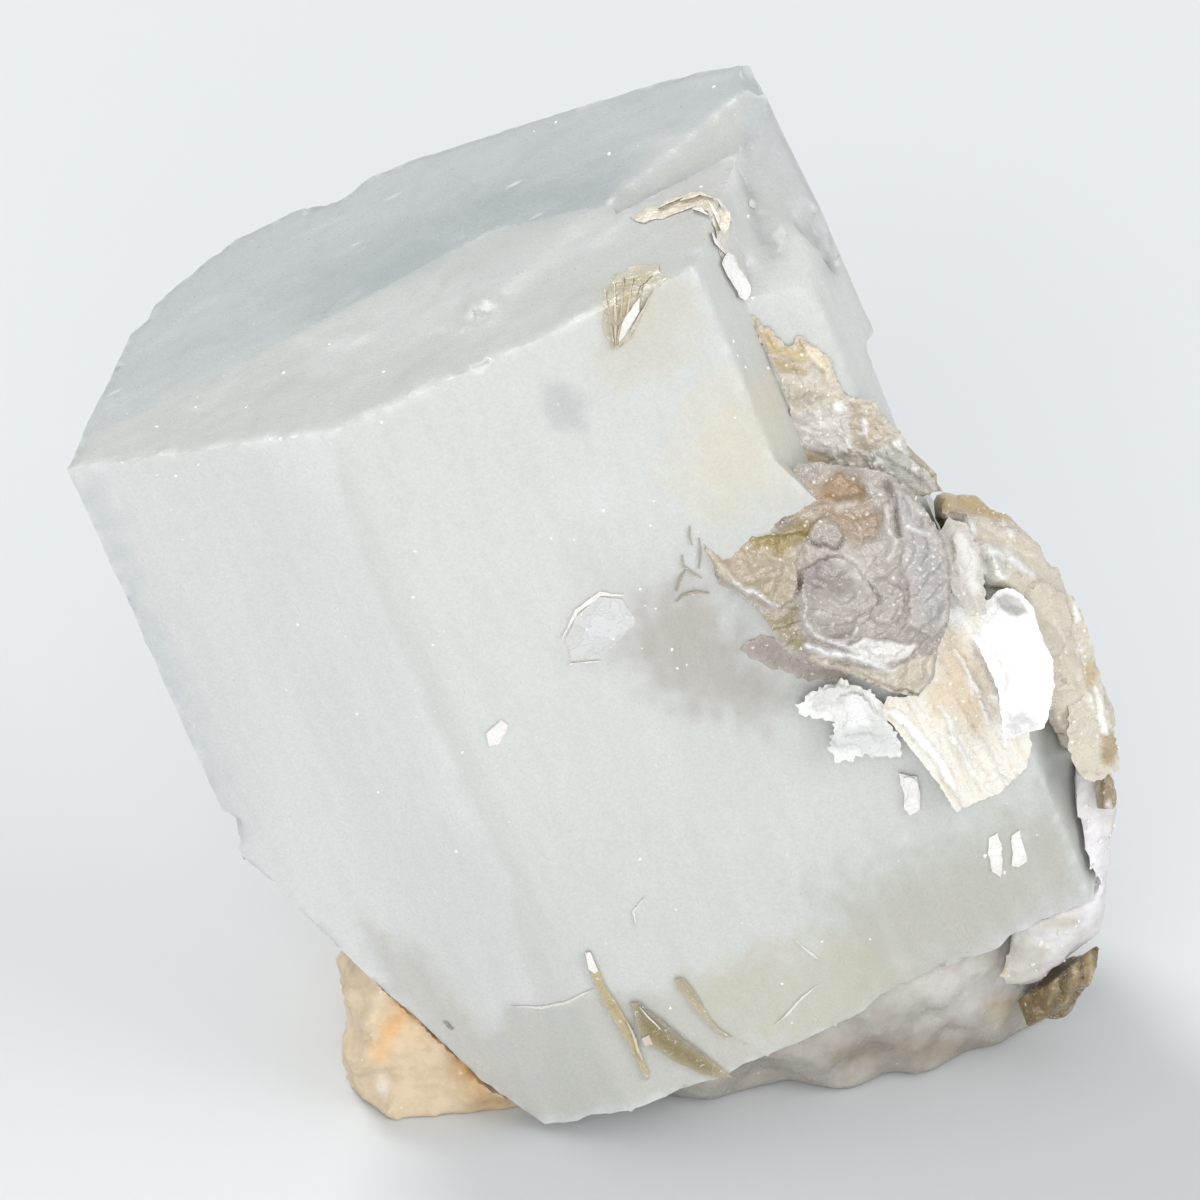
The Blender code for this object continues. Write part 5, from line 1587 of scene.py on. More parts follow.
def main_book_piece(settings):
    """The large lilac book: buckled sheets lying on each other, an olive window and a rusty hollow."""
    marks = [
        sheet(SHEET_RIGHT, LILAC_PALE, 0.30, wave=0.5, curl=0.10),
        sheet(THIN_SHEET, OLIVE_PALE, 0.35, wave=0.3, curl=0.15),
        stain(BROWN_TOP, RUST, 0.85, width=0.45, lift=-0.35),
        stain(BROWN_MID, RUST, 0.65, width=0.6, lift=-0.25),
        sheet(GREY_FACET, GREY_MICA, 0.12, wave=0.1),
        sheet(WEDGE, MAUVE, 0.55, wave=0.5, curl=0.10),
        stain(OLIVE_BAND, OLIVE, 0.95, width=0.45, lift=-0.15),
        sheet(FACET_LILAC, LILAC, 0.35, wave=0.2, curl=0.12),
        # painted shade in the crease along the facet's edge
        fold(FACET_LILAC[5:2:-1], display(120, 106, 92), -0.12, 0.10),
        stain(SUGAR_WHITE_1, PEARL_AND_HIGHLIGHT, 0.9, width=0.3, lift=0.25),
        sheet(OLIVE_LOW, display(164, 149, 114), 0.10, wave=0.2),
        sheet(LOWER_SHEET, BEIGE, 0.35, wave=0.3, curl=0.12),
        sheet(LOWER_WHITE, PEARL_AND_HIGHLIGHT, 0.25, wave=0.5, curl=0.10),
        sheet(DOME_RIGHT, LILAC, 0.40, wave=0.35, curl=0.15),
        sheet(DOME, LILAC, 0.55, wave=0.35, curl=0.22),
        # painted shade on the dome
        stain(DOME_PAINTED_SHADE, LILAC_PAINTED_SHADE, 0.6, width=0.5),
        stain(SUGAR_WHITE_2, PEARL_AND_HIGHLIGHT, 0.5, width=0.6, lift=0.1),
        stain(oval(13.2, 6.4, 4.2, 1.5), display(190, 156, 112), 0.45, width=1.2),
        # painted pearly sheen on the lower right of the book
        stain(oval(17.4, -0.6, 3.4, 1.3), display(216, 208, 202), 0.5, width=1.0),
        stain(oval(19.6, 3.0, 1.1, 3.0), display(204, 196, 192), 0.45, width=0.8),
        # painted highlight along the dome's rim
        fold(DOME_RIM, PEARL_AND_HIGHLIGHT, 0.28, 0.16),
        # painted highlights along the wedge's rim
        fold(WEDGE_RIM, CREAM_AND_HIGHLIGHT, 0.50, 0.22, 0.9),
        fold(WEDGE_RIM_WHITE, WHITE_AND_HIGHLIGHT, 0.25, 0.16, 0.95),
        # painted shade in a sunk fold
        fold(FOLD_SHADE_1, GREY_MICA, -0.30, 0.22),
        # painted highlights: these pale and white folds stand for light caught along folds and ridges
        fold(FOLD_HIGHLIGHT_1, PEARL_AND_HIGHLIGHT, 0.30, 0.18, 0.7),
        fold(FOLD_HIGHLIGHT_2, WHITE_AND_HIGHLIGHT, 0.25, 0.15, 0.8),
        fold(RIDGE_1, WHITE_AND_HIGHLIGHT, 0.40, 0.24, 0.85),
        fold(RIDGE_2, WHITE_AND_HIGHLIGHT, 0.30, 0.15, 0.9),
        fold(RIDGE_3, PEARL_AND_HIGHLIGHT, 0.30, 0.18, 0.8),
        fold(RIDGE_LONG, CREAM_AND_HIGHLIGHT, 0.40, 0.16, 0.85),
        # painted shadow just below the long ridge
        fold([(x, y - 0.35) for x, y in RIDGE_LONG[1:4]], display(186, 158, 112), -0.10, 0.16, 0.7),
    ]
    bm = slab(BOOK_OUTLINE, -3.5, (-0.05, -0.12, 1), 8.0, spacing=0.15, taper=2.6 / 8, rib=0.42, seed=12)
    marked(bm, marks, LILAC, seed=1.0, grain=0.07, steps=(0.19, 0.16, 2.6),
           rings=(14.6, 3.6, 1.05), back_tone=display(176, 160, 138))
    finish = sheet_finish("mica_lilac", gloss=0.24, painted_glints=0.10, wrinkle=0.12, shade=0.84)
    front = mica_mesh("book_front", bm, finish)
    ground = Surface("aquamarine_crystal")
    thin = settings.leaf / MM
    curls = [ground.leaf(ribbon(line, 0.16), 0.22, thin * 2, display(150, 138, 104), 30 + number, fray=0.02)
             for number, line in enumerate(CURLS)]
    cloud = ground.leaf(CLOUD_SHEET, 0.10, thin, display(184, 172, 164), 41, fray=0.2, ripple=0.15)
    loose = leaves_mesh("book_curls", [*curls, cloud], finish)
    return mica_piece("mica_book_main", "mica_main_book", [front, loose])


def silver_piece():
    """The clean plate, painted white as a reflection of the light, with its grey turned tip."""
    marks = [
        # the plate's white sheets are a painted reflection of the light
        sheet(scaled(SILVER, 0.86, (0.1, 0.3)), WHITE_AND_HIGHLIGHT, 0.14, wave=0.2),
        sheet(scaled(SILVER, 0.62, (-0.1, 0.5), 6), WHITE_AND_HIGHLIGHT, 0.10, wave=0.2),
        stain(SILVER_SHADE, display(226, 222, 224), 0.8, width=0.4),
        sheet(SILVER_TIP, display(190, 185, 184), 0.16, curl=0.16, wave=0.1),
        # painted highlight along the tip's rim
        fold(SILVER_TIP[:4], PEARL_AND_HIGHLIGHT, 0.2, 0.10),
    ]
    bm = slab(SILVER, -10.5, (0.05, 0.12, 1), 1.8, spacing=0.17, taper=0.3, rib=0.45, seed=11)
    # the plate's base white is a painted reflection of the light
    marked(bm, marks, WHITE_AND_HIGHLIGHT, seed=2.0, back_tone=PEARL_AND_HIGHLIGHT)
    finish = sheet_finish("mica_silver", gloss=0.24, painted_glints=0.08, mottle=0.02, wrinkle=0.06, sheets=0.10,
                          shade=0.86)
    return mica_piece("mica_plate_silver", "mica_silver_plate", [mica_mesh("silver_plate", bm, finish)])


def fan_piece():
    """The thick striated fan: its sheet edges stand as ridges that run down and to the right."""
    marks = [
        stain(FAN_TAN, display(226, 198, 158), 0.6, width=1.0),
        sheet(FAN_WHITE_TOP, WHITE_AND_HIGHLIGHT, 0.30, wave=0.3),
        sheet(ribbon(FAN_STRIPE, 0.85), WHITE_AND_HIGHLIGHT, 0.45, curl=0.1),
        # painted highlights along the fan's folds
        *[fold(line, WHITE_AND_HIGHLIGHT, 0.30, 0.16, 0.8) for line in FAN_FOLDS],
    ]
    bm = slab(FAN, -11.7, (0.45, -0.33, 1), 4.2, spacing=0.15, taper=1.2 / 4.2, rib=0.4, seed=14)
    marked(bm, marks, display(248, 243, 232), seed=3.0, comb=(-62, 0.30, 0.55, display(228, 212, 184)),
           back_tone=display(222, 212, 194))
    finish = sheet_finish("mica_pearl", gloss=0.28, painted_glints=0.2, mottle=0.05, sheets=0.15, shade=0.92)
    return mica_piece("mica_fan_striated", "mica_striated_fan", [mica_mesh("striated_fan", bm, finish)])


def white_fan_piece():
    """Frayed sheets below the book, painted white partly as mica's own white and partly as a reflection of
    the light, and the finger-shaped flake beside the fan.
    """
    marks = [
        # white sheets: white mica with a painted reflection of the light
        sheet(scaled(WHITE_FAN, 0.84, (-0.2, 0.4)), WHITE_AND_HIGHLIGHT, 0.22, wave=0.3, curl=0.1),
        sheet(scaled(WHITE_FAN, 0.60, (0.3, 0.5), -8), WHITE_AND_HIGHLIGHT, 0.22, wave=0.3, curl=0.1),
        stain(oval(17.2, -9.3, 2.8, 1.2), display(214, 217, 214), 0.7, width=0.9),
        stain(oval(15.0, -6.6, 1.2, 0.6), display(224, 224, 220), 0.6, width=0.5),
    ]
    bm = slab(WHITE_FAN, -9.5, (0.22, -0.40, 1), 2.8, spacing=0.16, taper=0.5, rib=0.4, fray=0.3, seed=13)
    finish = sheet_finish("mica_white", gloss=0.26, painted_glints=0.10, mottle=0.02, sheets=0.08)
    # the white base is partly a painted reflection of the light
    marked(bm, marks, WHITE_AND_HIGHLIGHT, seed=4.0, comb=(-60, 0.12, 0.7, display(228, 226, 222)), back_tone=PEARL_AND_HIGHLIGHT)
    mesh = mica_mesh("white_fan", bm, finish)
    ground = Surface("aquamarine_crystal")
    finger = leaves_mesh("white_finger", [
        ground.leaf(FINGER, 0.45, 0.8, WHITE_AND_HIGHLIGHT, 61, ripple=0.15),
        ground.leaf(scaled(FINGER, 0.7, (0.1, 0.2)), 0.62, 0.3, WHITE_AND_HIGHLIGHT, 62),
        ground.leaf(ribbon([(16.0, -7.8), (15.4, -8.6), (15.2, -9.6)], 0.35), 0.35, 0.4, PEARL_AND_HIGHLIGHT, 63),
    ], finish)
    return mica_piece("mica_fan_white", "mica_white_fan", [mesh, finger])


LEDGE = 0.7                           # distance between the terraces of the shell


def shell_piece():
    """The thick golden shell on the right: glassy olive mica, frosted silver near the plate."""
    bm = remeshed("mica_golden_shell", "VOXEL", 0.28 * MM)
    into_sight = SIGHT.inverted()
    side = Vector((0.80, 0.25, 0.54)).normalized()
    side_world = SIGHT.to_3x3().normalized() @ side
    bm.normal_update()
    moves = []
    for vert in bm.verts:
        place = into_sight @ vert.co
        level = place.dot(side) + 1.2 * fog(place, 0.14, 4.0)
        ledge = (round(level / LEDGE) * LEDGE - level) * 0.45
        relief = 0.35 * fog(place, 0.35, 4.0) + 0.10 * fog(place, 1.6, 4.0)
        moves.append((vert.normal * relief + side_world * ledge * abs(vert.normal.dot(side_world))) * MM)
    moved(bm, moves)
    marks = [
        stain(SHELL_CREAM, display(234, 226, 212), 0.85, width=0.5, lift=0.1),
        stain(scaled(SHELL_CREAM, 0.7, (0.7, -1.0)), display(236, 232, 232), 0.85, width=0.5),
        stain(SHELL_BROWN_EDGE, display(172, 152, 118), 0.8, width=0.3),
        stain(SHELL_GOLD, display(204, 174, 122), 0.85, width=0.35, lift=0.25),
        sheet(SHELL_SILVER, display(226, 222, 212), 0.25, wave=0.3),
        # painted shade in the sunk pocket
        stain(SHELL_POCKET, display(118, 96, 60), 0.97, width=0.22, lift=-0.7),
        stain(POCKET_GOLD, display(156, 126, 56), 0.9, width=0.2),
        sheet(SHELL_FLAP, WHITE_AND_HIGHLIGHT, 0.35, curl=0.15),
        # painted highlights along the shell's folds
        *[fold(line, WHITE_AND_HIGHLIGHT, 0.25, 0.20, 0.9) for line in SHELL_STREAKS],
        *[sheet(outline, WHITE_AND_HIGHLIGHT, 0.16, curl=0.05) for outline in SHELL_EDGE_FLECKS],
    ]
    marked(bm, marks, SHELL_BODY, seed=5.0, steps=(0.22, 0.13, 2.0),
           rings=(21.0, -5.0, 1.3), back_tone=display(204, 188, 158))
    finish = sheet_finish("mica_golden", gloss=0.28, painted_glints=0.12, mottle=0.08, sheets=0.22, shade=0.86)
    lump = mica_mesh("shell_lump", bm, finish)
    bridge = slab(SHELL_BRIDGE, -8.2, (0.35, 0.1, 1), 3.4, spacing=0.2, taper=0.4, rib=0.5, fray=0.15,
                  seed=21)
    marked(bridge, [sheet(scaled(SHELL_BRIDGE, 0.7, (0.2, 0.3)), PEARL_AND_HIGHLIGHT, 0.25, wave=0.3)],
           display(222, 216, 205), seed=21.0, comb=(-70, 0.2, 0.6, display(190, 178, 158)), back_tone=BEIGE)
    edge = slab(SHELL_EDGE, -16.6, (0.5, 0.1, 1), 1.6, spacing=0.2, taper=0.3, rib=0.4, fray=0.2, seed=19)
    marked(edge, [
        stain(oval(33.9, -9.8, 0.8, 1.2), display(170, 146, 106), 0.9, width=0.3),
        stain(oval(32.6, -5.0, 0.5, 0.9), display(196, 172, 128), 0.8, width=0.3),
        *[sheet(outline, WHITE_AND_HIGHLIGHT, 0.2, curl=0.05) for outline in SHELL_EDGE_FLECKS],
    ], display(220, 211, 192), seed=19.0, steps=(0.12, 0.5, 3.0), back_tone=BEIGE)
    meshes = [lump, mica_mesh("shell_edge", edge, finish), mica_mesh("shell_bridge", bridge, finish)]
    return mica_piece("mica_shell_golden", "mica_golden_shell", meshes)


def cluster_piece():
    """The mass of small gold, cream and silver sheets in the angle of the set-back face."""
    marks = [
        sheet(CLUSTER_PALE, display(214, 209, 203), 0.10, wave=0.3),
        sheet(CLUSTER_BEIGE, display(216, 202, 182), 0.20, wave=0.4),
        sheet(CLUSTER_GREY, display(200, 189, 173), 0.15, wave=0.4),
        sheet(CLUSTER_SILVER, display(224, 218, 211), 0.30, wave=0.7),
        stain(GOLD_LOW, display(214, 190, 144), 0.85, width=0.3),
        sheet(GOLD_UPPER, display(209, 188, 142), 0.25, wave=0.3, curl=0.12),
        sheet(GOLD_MID, display(190, 170, 130), 0.20, wave=0.2),
        sheet(CREAM_LEAF, display(246, 230, 202), 0.40, wave=0.2, curl=0.10),
        *[sheet(outline, WHITE_AND_HIGHLIGHT, 0.32, curl=0.06) for outline in CLUSTER_WHITES],
        *[sheet(oval(right, up, wide, wide * 0.6), WHITE_AND_HIGHLIGHT, 0.25, curl=0.06)
          for right, up, wide in CLUSTER_GLINTS],
    ]
    bm = slab(CLUSTER_OUTLINE, -4.6, (0.266, -0.514, 1), 2.6, spacing=0.15, taper=0.4, rib=0.4, fray=0.14,
              seed=15)
    marked(bm, marks, display(226, 217, 201), seed=6.0, grain=0.14, steps=(0.18, 0.26, 4.5),
           back_tone=display(196, 176, 140))
    finish = sheet_finish("mica_gold", gloss=0.28, painted_glints=0.32, mottle=0.1, sheets=0.25, shade=0.92)
    return mica_piece("mica_cluster_gold", "mica_gold_cluster", [mica_mesh("gold_cluster", bm, finish)])


def weathered_book(node, name, marks, tone, comb, seed):
    """A CAD book of weathered mica: its sheet edges stand as streaks, its marks lie over them."""
    bm = remeshed(node, "VOXEL", 0.2 * MM)
    marked(bm, marks, tone, seed=seed, grain=0.16, comb=comb)
    finish = sheet_finish(name + "_finish", gloss=0.34, painted_glints=0.05, mottle=0.2, sheets=0.3)
    return mica_piece(name, node, [mica_mesh(name + "_book", bm, finish)], 45)


def brown_books_piece():
    """The brown lump at the lower right, with streaks along its sheets."""
    pale, dark = display(196, 178, 134), display(96, 78, 48)
    marks = [
        stain(oval(33.0, -22.2, 1.6, 1.2), display(204, 192, 166), 0.8, width=0.5, lift=0.15),
        stain(oval(29.6, -27.8, 1.2, 1.0), display(132, 110, 76), 0.8, width=0.4),
        *[fold([(31.0 + step, -22.4), (31.4 + 1.1 * step, -25.0), (30.8 + 1.2 * step, -27.2)],
               dark if number % 2 else pale, -0.15 if number % 2 else 0.18, 0.16, 0.7)
          for number, step in enumerate((-0.6, -0.1, 0.4, 0.9, 1.5, 2.0, 2.5))],
    ]
    return weathered_book("mica_brown_lump", "mica_lump_brown", marks, display(150, 128, 88),
                          (-78, 0.25, 0.5, display(112, 92, 60)), 17.0)


def edge_book_piece():
    """The little book on the right edge."""
    marks = [
        stain(EDGE_BROWN, display(164, 142, 104), 0.9, width=0.3),
        stain(EDGE_SPARK, PEARL_AND_HIGHLIGHT, 0.9, width=0.15, lift=0.1),
    ]
    return weathered_book("mica_edge_book", "mica_book_edge", marks, display(206, 196, 178),
                          (-80, 0.12, 0.5, display(132, 112, 78)), 20.0)


def crest_piece():
    """White filaments that arch over the top corner, and the white flap that hangs from them."""
    ground = Surface("aquamarine_crystal")
    leaves = [
        ground.leaf(CREST_ARC, 0.16, 0.6, display(232, 222, 202), 91, fray=0.15, ripple=0.25),
        ground.leaf(CREST_LEG, 0.20, 0.6, display(236, 228, 214), 92, fray=0.15, ripple=0.25),
        ground.leaf(CREST_FLAP, 0.60, 0.6, WHITE_AND_HIGHLIGHT, 93, fray=0.12, ripple=0.15),
    ]
    for number, line in enumerate(CREST_LINES):
        tone = CREAM_AND_HIGHLIGHT if number in (0, 5) else WHITE_AND_HIGHLIGHT
        leaves.append(ground.leaf(ribbon(line, 0.34), 0.55, 0.45, tone, 94 + number, fray=0.05))
    finish = sheet_finish("mica_crest", gloss=0.28, painted_glints=0.2, mottle=0.04, sheets=0.15, shade=0.95)
    return mica_piece("mica_crest_leaves", "mica_crest", [leaves_mesh("crest_leaves", leaves, finish)],
                      smooth_deg=40)


def spray_piece():
    """The V-shaped beige spray on the top face, with its white streak."""
    ground = Surface("aquamarine_crystal")
    fans = [[(0.9 + 0.1 * number, 16.3), (0.7 + 0.3 * number, 17.6),
             (0.3 + 0.62 * number, 19.3 + 1.6 * math.sin(0.45 * number + 0.5))] for number in range(6)]
    leaves = [
        ground.leaf(SPRAY, 0.08, 0.3, display(212, 206, 186), 101, fray=0.25, ripple=0.1),
        ground.leaf(scaled(SPRAY, 0.7, (-0.2, 0.6)), 0.2, 0.25, display(202, 190, 156), 102, fray=0.25,
                    ripple=0.1),
        ground.leaf(SPRAY_STREAK, 0.42, 0.3, WHITE_AND_HIGHLIGHT, 103, fray=0.05),
    ]
    tones = (display(196, 180, 140), display(222, 212, 186))
    leaves += [ground.leaf(ribbon(line, 0.22), 0.34, 0.25, tones[number % 2], 104 + number, fray=0.05)
               for number, line in enumerate(fans)]
    mesh = leaves_mesh("spray_leaves", leaves, sheet_finish("mica_beige", gloss=0.3, painted_glints=0.1))
    return mica_piece("mica_spray_top", "mica_top_spray", [mesh], smooth_deg=40)


def blade_pieces():
    """Three books seen on edge, sunk in the lower front of the crystal."""
    finish = sheet_finish("mica_olive", gloss=0.22, painted_glints=0.03, mottle=0.14)
    ground = Surface("aquamarine_crystal")
    golden, olive, pale = display(190, 172, 118), display(150, 136, 94), display(184, 172, 134)
    blades = {
        "mica_blade_thin": [
            (BLADE_THIN, 0.42, 1.4, golden), (BLADE_TIP_WHITE, 0.62, 0.5, WHITE_AND_HIGHLIGHT),
            (ribbon(BLADE_THIN[5:9], 0.2), 0.58, 0.3, display(226, 214, 178)),
        ],
        "mica_blade_olive": [
            (BLADE_OLIVE, 0.45, 1.4, olive),
            (ribbon(BLADE_OLIVE[1:6], 0.22), 0.60, 0.3, display(112, 104, 76)),
            (ribbon(BLADE_GLINT, 0.16), 0.62, 0.3, PEARL_AND_HIGHLIGHT), (BLADE_SPOT, 0.62, 0.3, display(222, 204, 186)),
        ],
        "mica_blade_short": [
            (BLADE_SHORT, 0.30, 1.0, pale),
            (ribbon(BLADE_SHORT[:4], 0.16), 0.42, 0.3, display(158, 146, 108)),
        ],
    }
    for node, parts in blades.items():
        leaves = [ground.leaf(outline, lift, thick, tone, 111 + number, fray=0.03, ripple=0.05)
                  for number, (outline, lift, thick, tone) in enumerate(parts)]
        mica_piece(node + "_edge_on", node, [leaves_mesh(node + "_leaves", leaves, finish)], 40)


def fleck_piece():
    """Loose white flecks, chips and the raised bleb on the front face."""
    finish = sheet_finish("mica_fleck", gloss=0.3, painted_glints=0.1, mottle=0.04)
    ground = Surface("aquamarine_crystal")
    leaves = [ground.leaf(outline, 0.14, 0.4, WHITE_AND_HIGHLIGHT, 121 + number, fray=0.1)
              for number, outline in enumerate(FLECKS)]
    leaves += [ground.leaf(ribbon(line, 0.22), 0.12, 0.3, PEARL_AND_HIGHLIGHT, 131 + number, fray=0.05)
               for number, line in enumerate([*LOW_MARKS, *SCALLOP_RIMS])]
    leaves += [
        ground.leaf(scaled(BLEB_PALE, 0.9), 0.10, 0.4, display(226, 227, 226), 151, fray=0.1),
        ground.leaf(ribbon(BLEB_PALE[:4], 0.3), 0.18, 0.4, WHITE_AND_HIGHLIGHT, 152, fray=0.05),
        ground.leaf(ribbon(BLEB_PALE[6:], 0.35), 0.18, 0.4, WHITE_AND_HIGHLIGHT, 153, fray=0.05),
        ground.leaf(DARK_SPECK, 0.10, 0.3, display(96, 92, 80), 141, fray=0.02),
        ground.leaf(PIT_SPARK, 0.12, 0.3, WHITE_AND_HIGHLIGHT, 142, fray=0.05),
    ]
    made = joined("mica_flecks_low", [leaves_mesh("fleck_leaves", leaves, finish)])
    return finish_piece(made, [], 40)


# ---- small grains scattered over a surface, as a node tree ----

def grain_finish(name, light, dark, gloss):
    """Grains that each have their own tone between light and dark."""
    made, tree, shader, _ = shader_of(name)
    tone = add(tree, "ShaderNodeAttribute", attribute_name="tone").outputs["Fac"]
    fine = noise_value(tree, place_in(tree, SIGHT), 3.0, 3.0)
    mix = maths(tree, "ADD", maths(tree, "MULTIPLY", tone, 0.7), maths(tree, "MULTIPLY", fine, 0.5))
    base = blend(tree, ramp(tree, mix, 0.4, 1.1), rgba(light), rgba(dark))
    tree.links.new(base, shader.inputs["Base Color"])
    shader.inputs["Roughness"].default_value = gloss
    shader.inputs["Coat Weight"].default_value = 0.3
    bump(tree, shader, fine, 0.05)
    return made


def make_scatter_tree(name):
    """Puts copies of a flake on a surface where its 'thick' attribute allows, at all angles and sizes."""
    tree, given, result = geometry_tree(name, [
        ("Flake", "NodeSocketObject"), ("Density", "NodeSocketFloat"), ("Smallest", "NodeSocketFloat"),
        ("Largest", "NodeSocketFloat"), ("Lean", "NodeSocketFloat"), ("Seed", "NodeSocketInt"),
        ("Finish", "NodeSocketMaterial"),
    ])
    surface, flake, density, smallest, largest, lean, seed, finish = given.outputs[:8]
    thick = add(tree, "GeometryNodeInputNamedAttribute", {"Name": "thick"}, data_type="FLOAT").outputs[0]
    amount = add(tree, "ShaderNodeMath", {0: density, 1: thick}, operation="MULTIPLY").outputs[0]
    spots = add(tree, "GeometryNodeDistributePointsOnFaces",
                {"Mesh": surface, "Density": amount, "Seed": seed})
    shape = add(tree, "GeometryNodeObjectInfo", {"Object": flake}).outputs["Geometry"]
    less = add(tree, "ShaderNodeMath", {0: lean, 1: -1.0}, operation="MULTIPLY").outputs[0]
    spin = combine_xyz(
        tree, random_number(tree, less, lean, seeded(tree, seed, 3)),
        random_number(tree, less, lean, seeded(tree, seed, 5)),
        random_number(tree, -math.pi, math.pi, seeded(tree, seed, 9)),
    )
    turned = add(tree, "FunctionNodeRotateRotation", {0: spots.outputs["Rotation"], 1: spin},
                 rotation_space="LOCAL")
    size = random_number(tree, smallest, largest, seeded(tree, seed, 11))
    longer = add(tree, "ShaderNodeMath", {0: size, 1: random_number(tree, 0.8, 1.9, seeded(tree, seed, 17))},
                 operation="MULTIPLY").outputs[0]
    copies = add(tree, "GeometryNodeInstanceOnPoints", {
        "Points": spots.outputs["Points"], "Instance": shape, "Rotation": turned.outputs[0],
        "Scale": combine_xyz(tree, longer, size, size),
    })
    toned = add(tree, "GeometryNodeStoreNamedAttribute", {
        "Geometry": copies.outputs[0], "Name": "tone",
        "Value": random_number(tree, 0.0, 1.0, seeded(tree, seed, 21)),
    }, data_type="FLOAT", domain="INSTANCE")
    real = add(tree, "GeometryNodeRealizeInstances", {"Geometry": toned.outputs[0]})
    done = add(tree, "GeometryNodeSetMaterial", {"Geometry": real.outputs[0], "Material": finish})
    link(tree, done.outputs[0], result.inputs[0])
    return tree


def flake_object():
    """One small six-sided flake, a unit across, with a bevelled rim."""
    found = bpy.data.objects.get("one_flake")
    if found:
        return found
    bm = bmesh.new()
    levels = ((-0.16, 0.38), (0.0, 0.5), (0.16, 0.4))
    rings = []
    for level, reach in levels:
        ring = []
        for corner in range(6):
            angle = math.radians(60 * corner + (13 if corner % 2 else -9))
            far = reach * (1.0 if corner % 3 else 0.8)
            ring.append(bm.verts.new((far * math.cos(angle), far * math.sin(angle), level)))
        rings.append(ring)
    for lower, upper in zip(rings, rings[1:]):
        for corner in range(6):
            other = (corner + 1) % 6
            bm.faces.new((lower[corner], lower[other], upper[other], upper[corner]))
    bm.faces.new(list(reversed(rings[0])))
    bm.faces.new(rings[-1])
    made = object_of("one_flake", mesh_of("one_flake", bm))
    made.hide_render = True
    made.hide_viewport = True
    return made


def scattered(name, carrier_name, thick, finish, *, density, smallest, largest, lean_deg, seed):
    """Flakes over a built piece: thick(place in sight, normal) from 0 to 1 says how thick they lie."""
    source = bpy.data.objects[carrier_name]
    mesh = source.data.copy()
    into_sight = SIGHT.inverted()
    turn = into_sight.to_3x3().normalized()
    values = [thick(into_sight @ vert.co, turn @ vert.normal) for vert in mesh.vertices]
    attribute = mesh.attributes.new("thick", "FLOAT", "POINT")
    attribute.data.foreach_set("value", values)
    carrier = object_of(name, mesh)
    modifier = carrier.modifiers.new("scatter", "NODES")
    modifier.node_group = group_for("scatter_flakes", make_scatter_tree)
    flake = flake_object()
    flake.hide_viewport = False
    set_inputs(modifier, {
        "Flake": flake, "Density": density, "Smallest": smallest * MM, "Largest": largest * MM,
        "Lean": math.radians(lean_deg), "Seed": seed, "Finish": finish,
    })
    made = evaluated(carrier, name)
    flake.hide_viewport = True
    return made


SPECK_ZONES = (        # right, up, width, height, amount
    (-1.0, 5.5, 3.0, 3.0, 1.0), (8.5, 13.0, 4.0, 5.0, 0.8), (-11.0, -6.0, 12.0, 20.0, 0.25),
    (5.0, 0.0, 8.0, 12.0, 0.35), (10.5, 26.5, 3.0, 5.0, 1.0), (-20.0, 14.0, 12.0, 6.0, 0.2),
    (26.0, -16.0, 3.0, 3.0, 1.0), (14.0, -24.0, 12.0, 4.0, 0.4), (-26.0, 12.0, 6.0, 6.0, 0.3),
)


def speck_amount(place, normal):
    if normal.z < 0.15:
        return 0.0
    amount = 0.04
    for right, up, wide, high, zone_amount in SPECK_ZONES:
        away = ((place.x - right) / wide) ** 2 + ((place.y - up) / high) ** 2
        amount = max(amount, zone_amount * max(0.0, 1.0 - away))
    return amount


def speck_piece():
    finish = grain_finish("speck_white", (0.92, 0.93, 0.92), (0.80, 0.84, 0.83), 0.3)
    mesh = scattered("crystal_specks", "aquamarine_crystal", speck_amount, finish, density=0.22e6,
                     smallest=0.08, largest=0.30, lean_deg=25, seed=3)
    made = joined("crystal_specks", [mesh])
    return finish_piece(made, [], 30)


def sugar_piece(settings):
    """Sugary grains and flecks over the mica cluster, the top of the shell and the albite."""
    grain = settings.grain / MM
    pale = grain_finish("mica_sugar", (0.90, 0.87, 0.82), (0.74, 0.66, 0.52), 0.28)
    meshes = []
    zones = (
        ("mica_cluster_gold", 0.35e6, 0.4, 0.9, lambda p: 1.0 if p.x > 11 else 0.3, 5),
        ("mica_book_main", 0.15e6, 0.4, 0.8, lambda p: smooth_step(fog(p, 0.3, 3.0), 0.0, 0.3), 6),
        ("mica_shell_golden", 0.5e6, 0.5, 1.0, lambda p: smooth_step(fog(p, 0.25, 4.0), 0.05, 0.3), 7),
        ("mica_fan_striated", 0.3e6, 0.3, 0.7, lambda p: smooth_step(p.y, -9.0, 0.0), 8),
        ("albite_grains", 0.5e6, 0.5, 1.2, lambda p: 0.6, 9),
    )
    for name, density, small, large, zone, seed in zones:
        def thick(place, normal, zone=zone):
            return zone(place) if normal.z > 0.0 else 0.0
        meshes.append(scattered(f"{name}_sugar", name, thick, pale, density=density, smallest=grain * small,
                                largest=grain * large, lean_deg=70, seed=seed))
    made = joined("mica_sugar_grains", meshes)
    bpy.data.objects.remove(bpy.data.objects["one_flake"])
    return finish_piece(made, [], 30)


# ---- studio ----

def floor_piece(settings):
    bm = bmesh.new()
    bmesh.ops.create_grid(bm, x_segments=1, y_segments=1, size=3.0)
    made = object_of("studio_floor", mesh_of("studio_floor", bm))
    finish, tree, shader, _ = shader_of("floor_pale")
    shader.inputs["Roughness"].default_value = 0.9
    shader.inputs["Base Color"].default_value = rgba(settings.floor)
    shader.inputs["Specular IOR Level"].default_value = 0.1
    made.data.materials.append(finish)


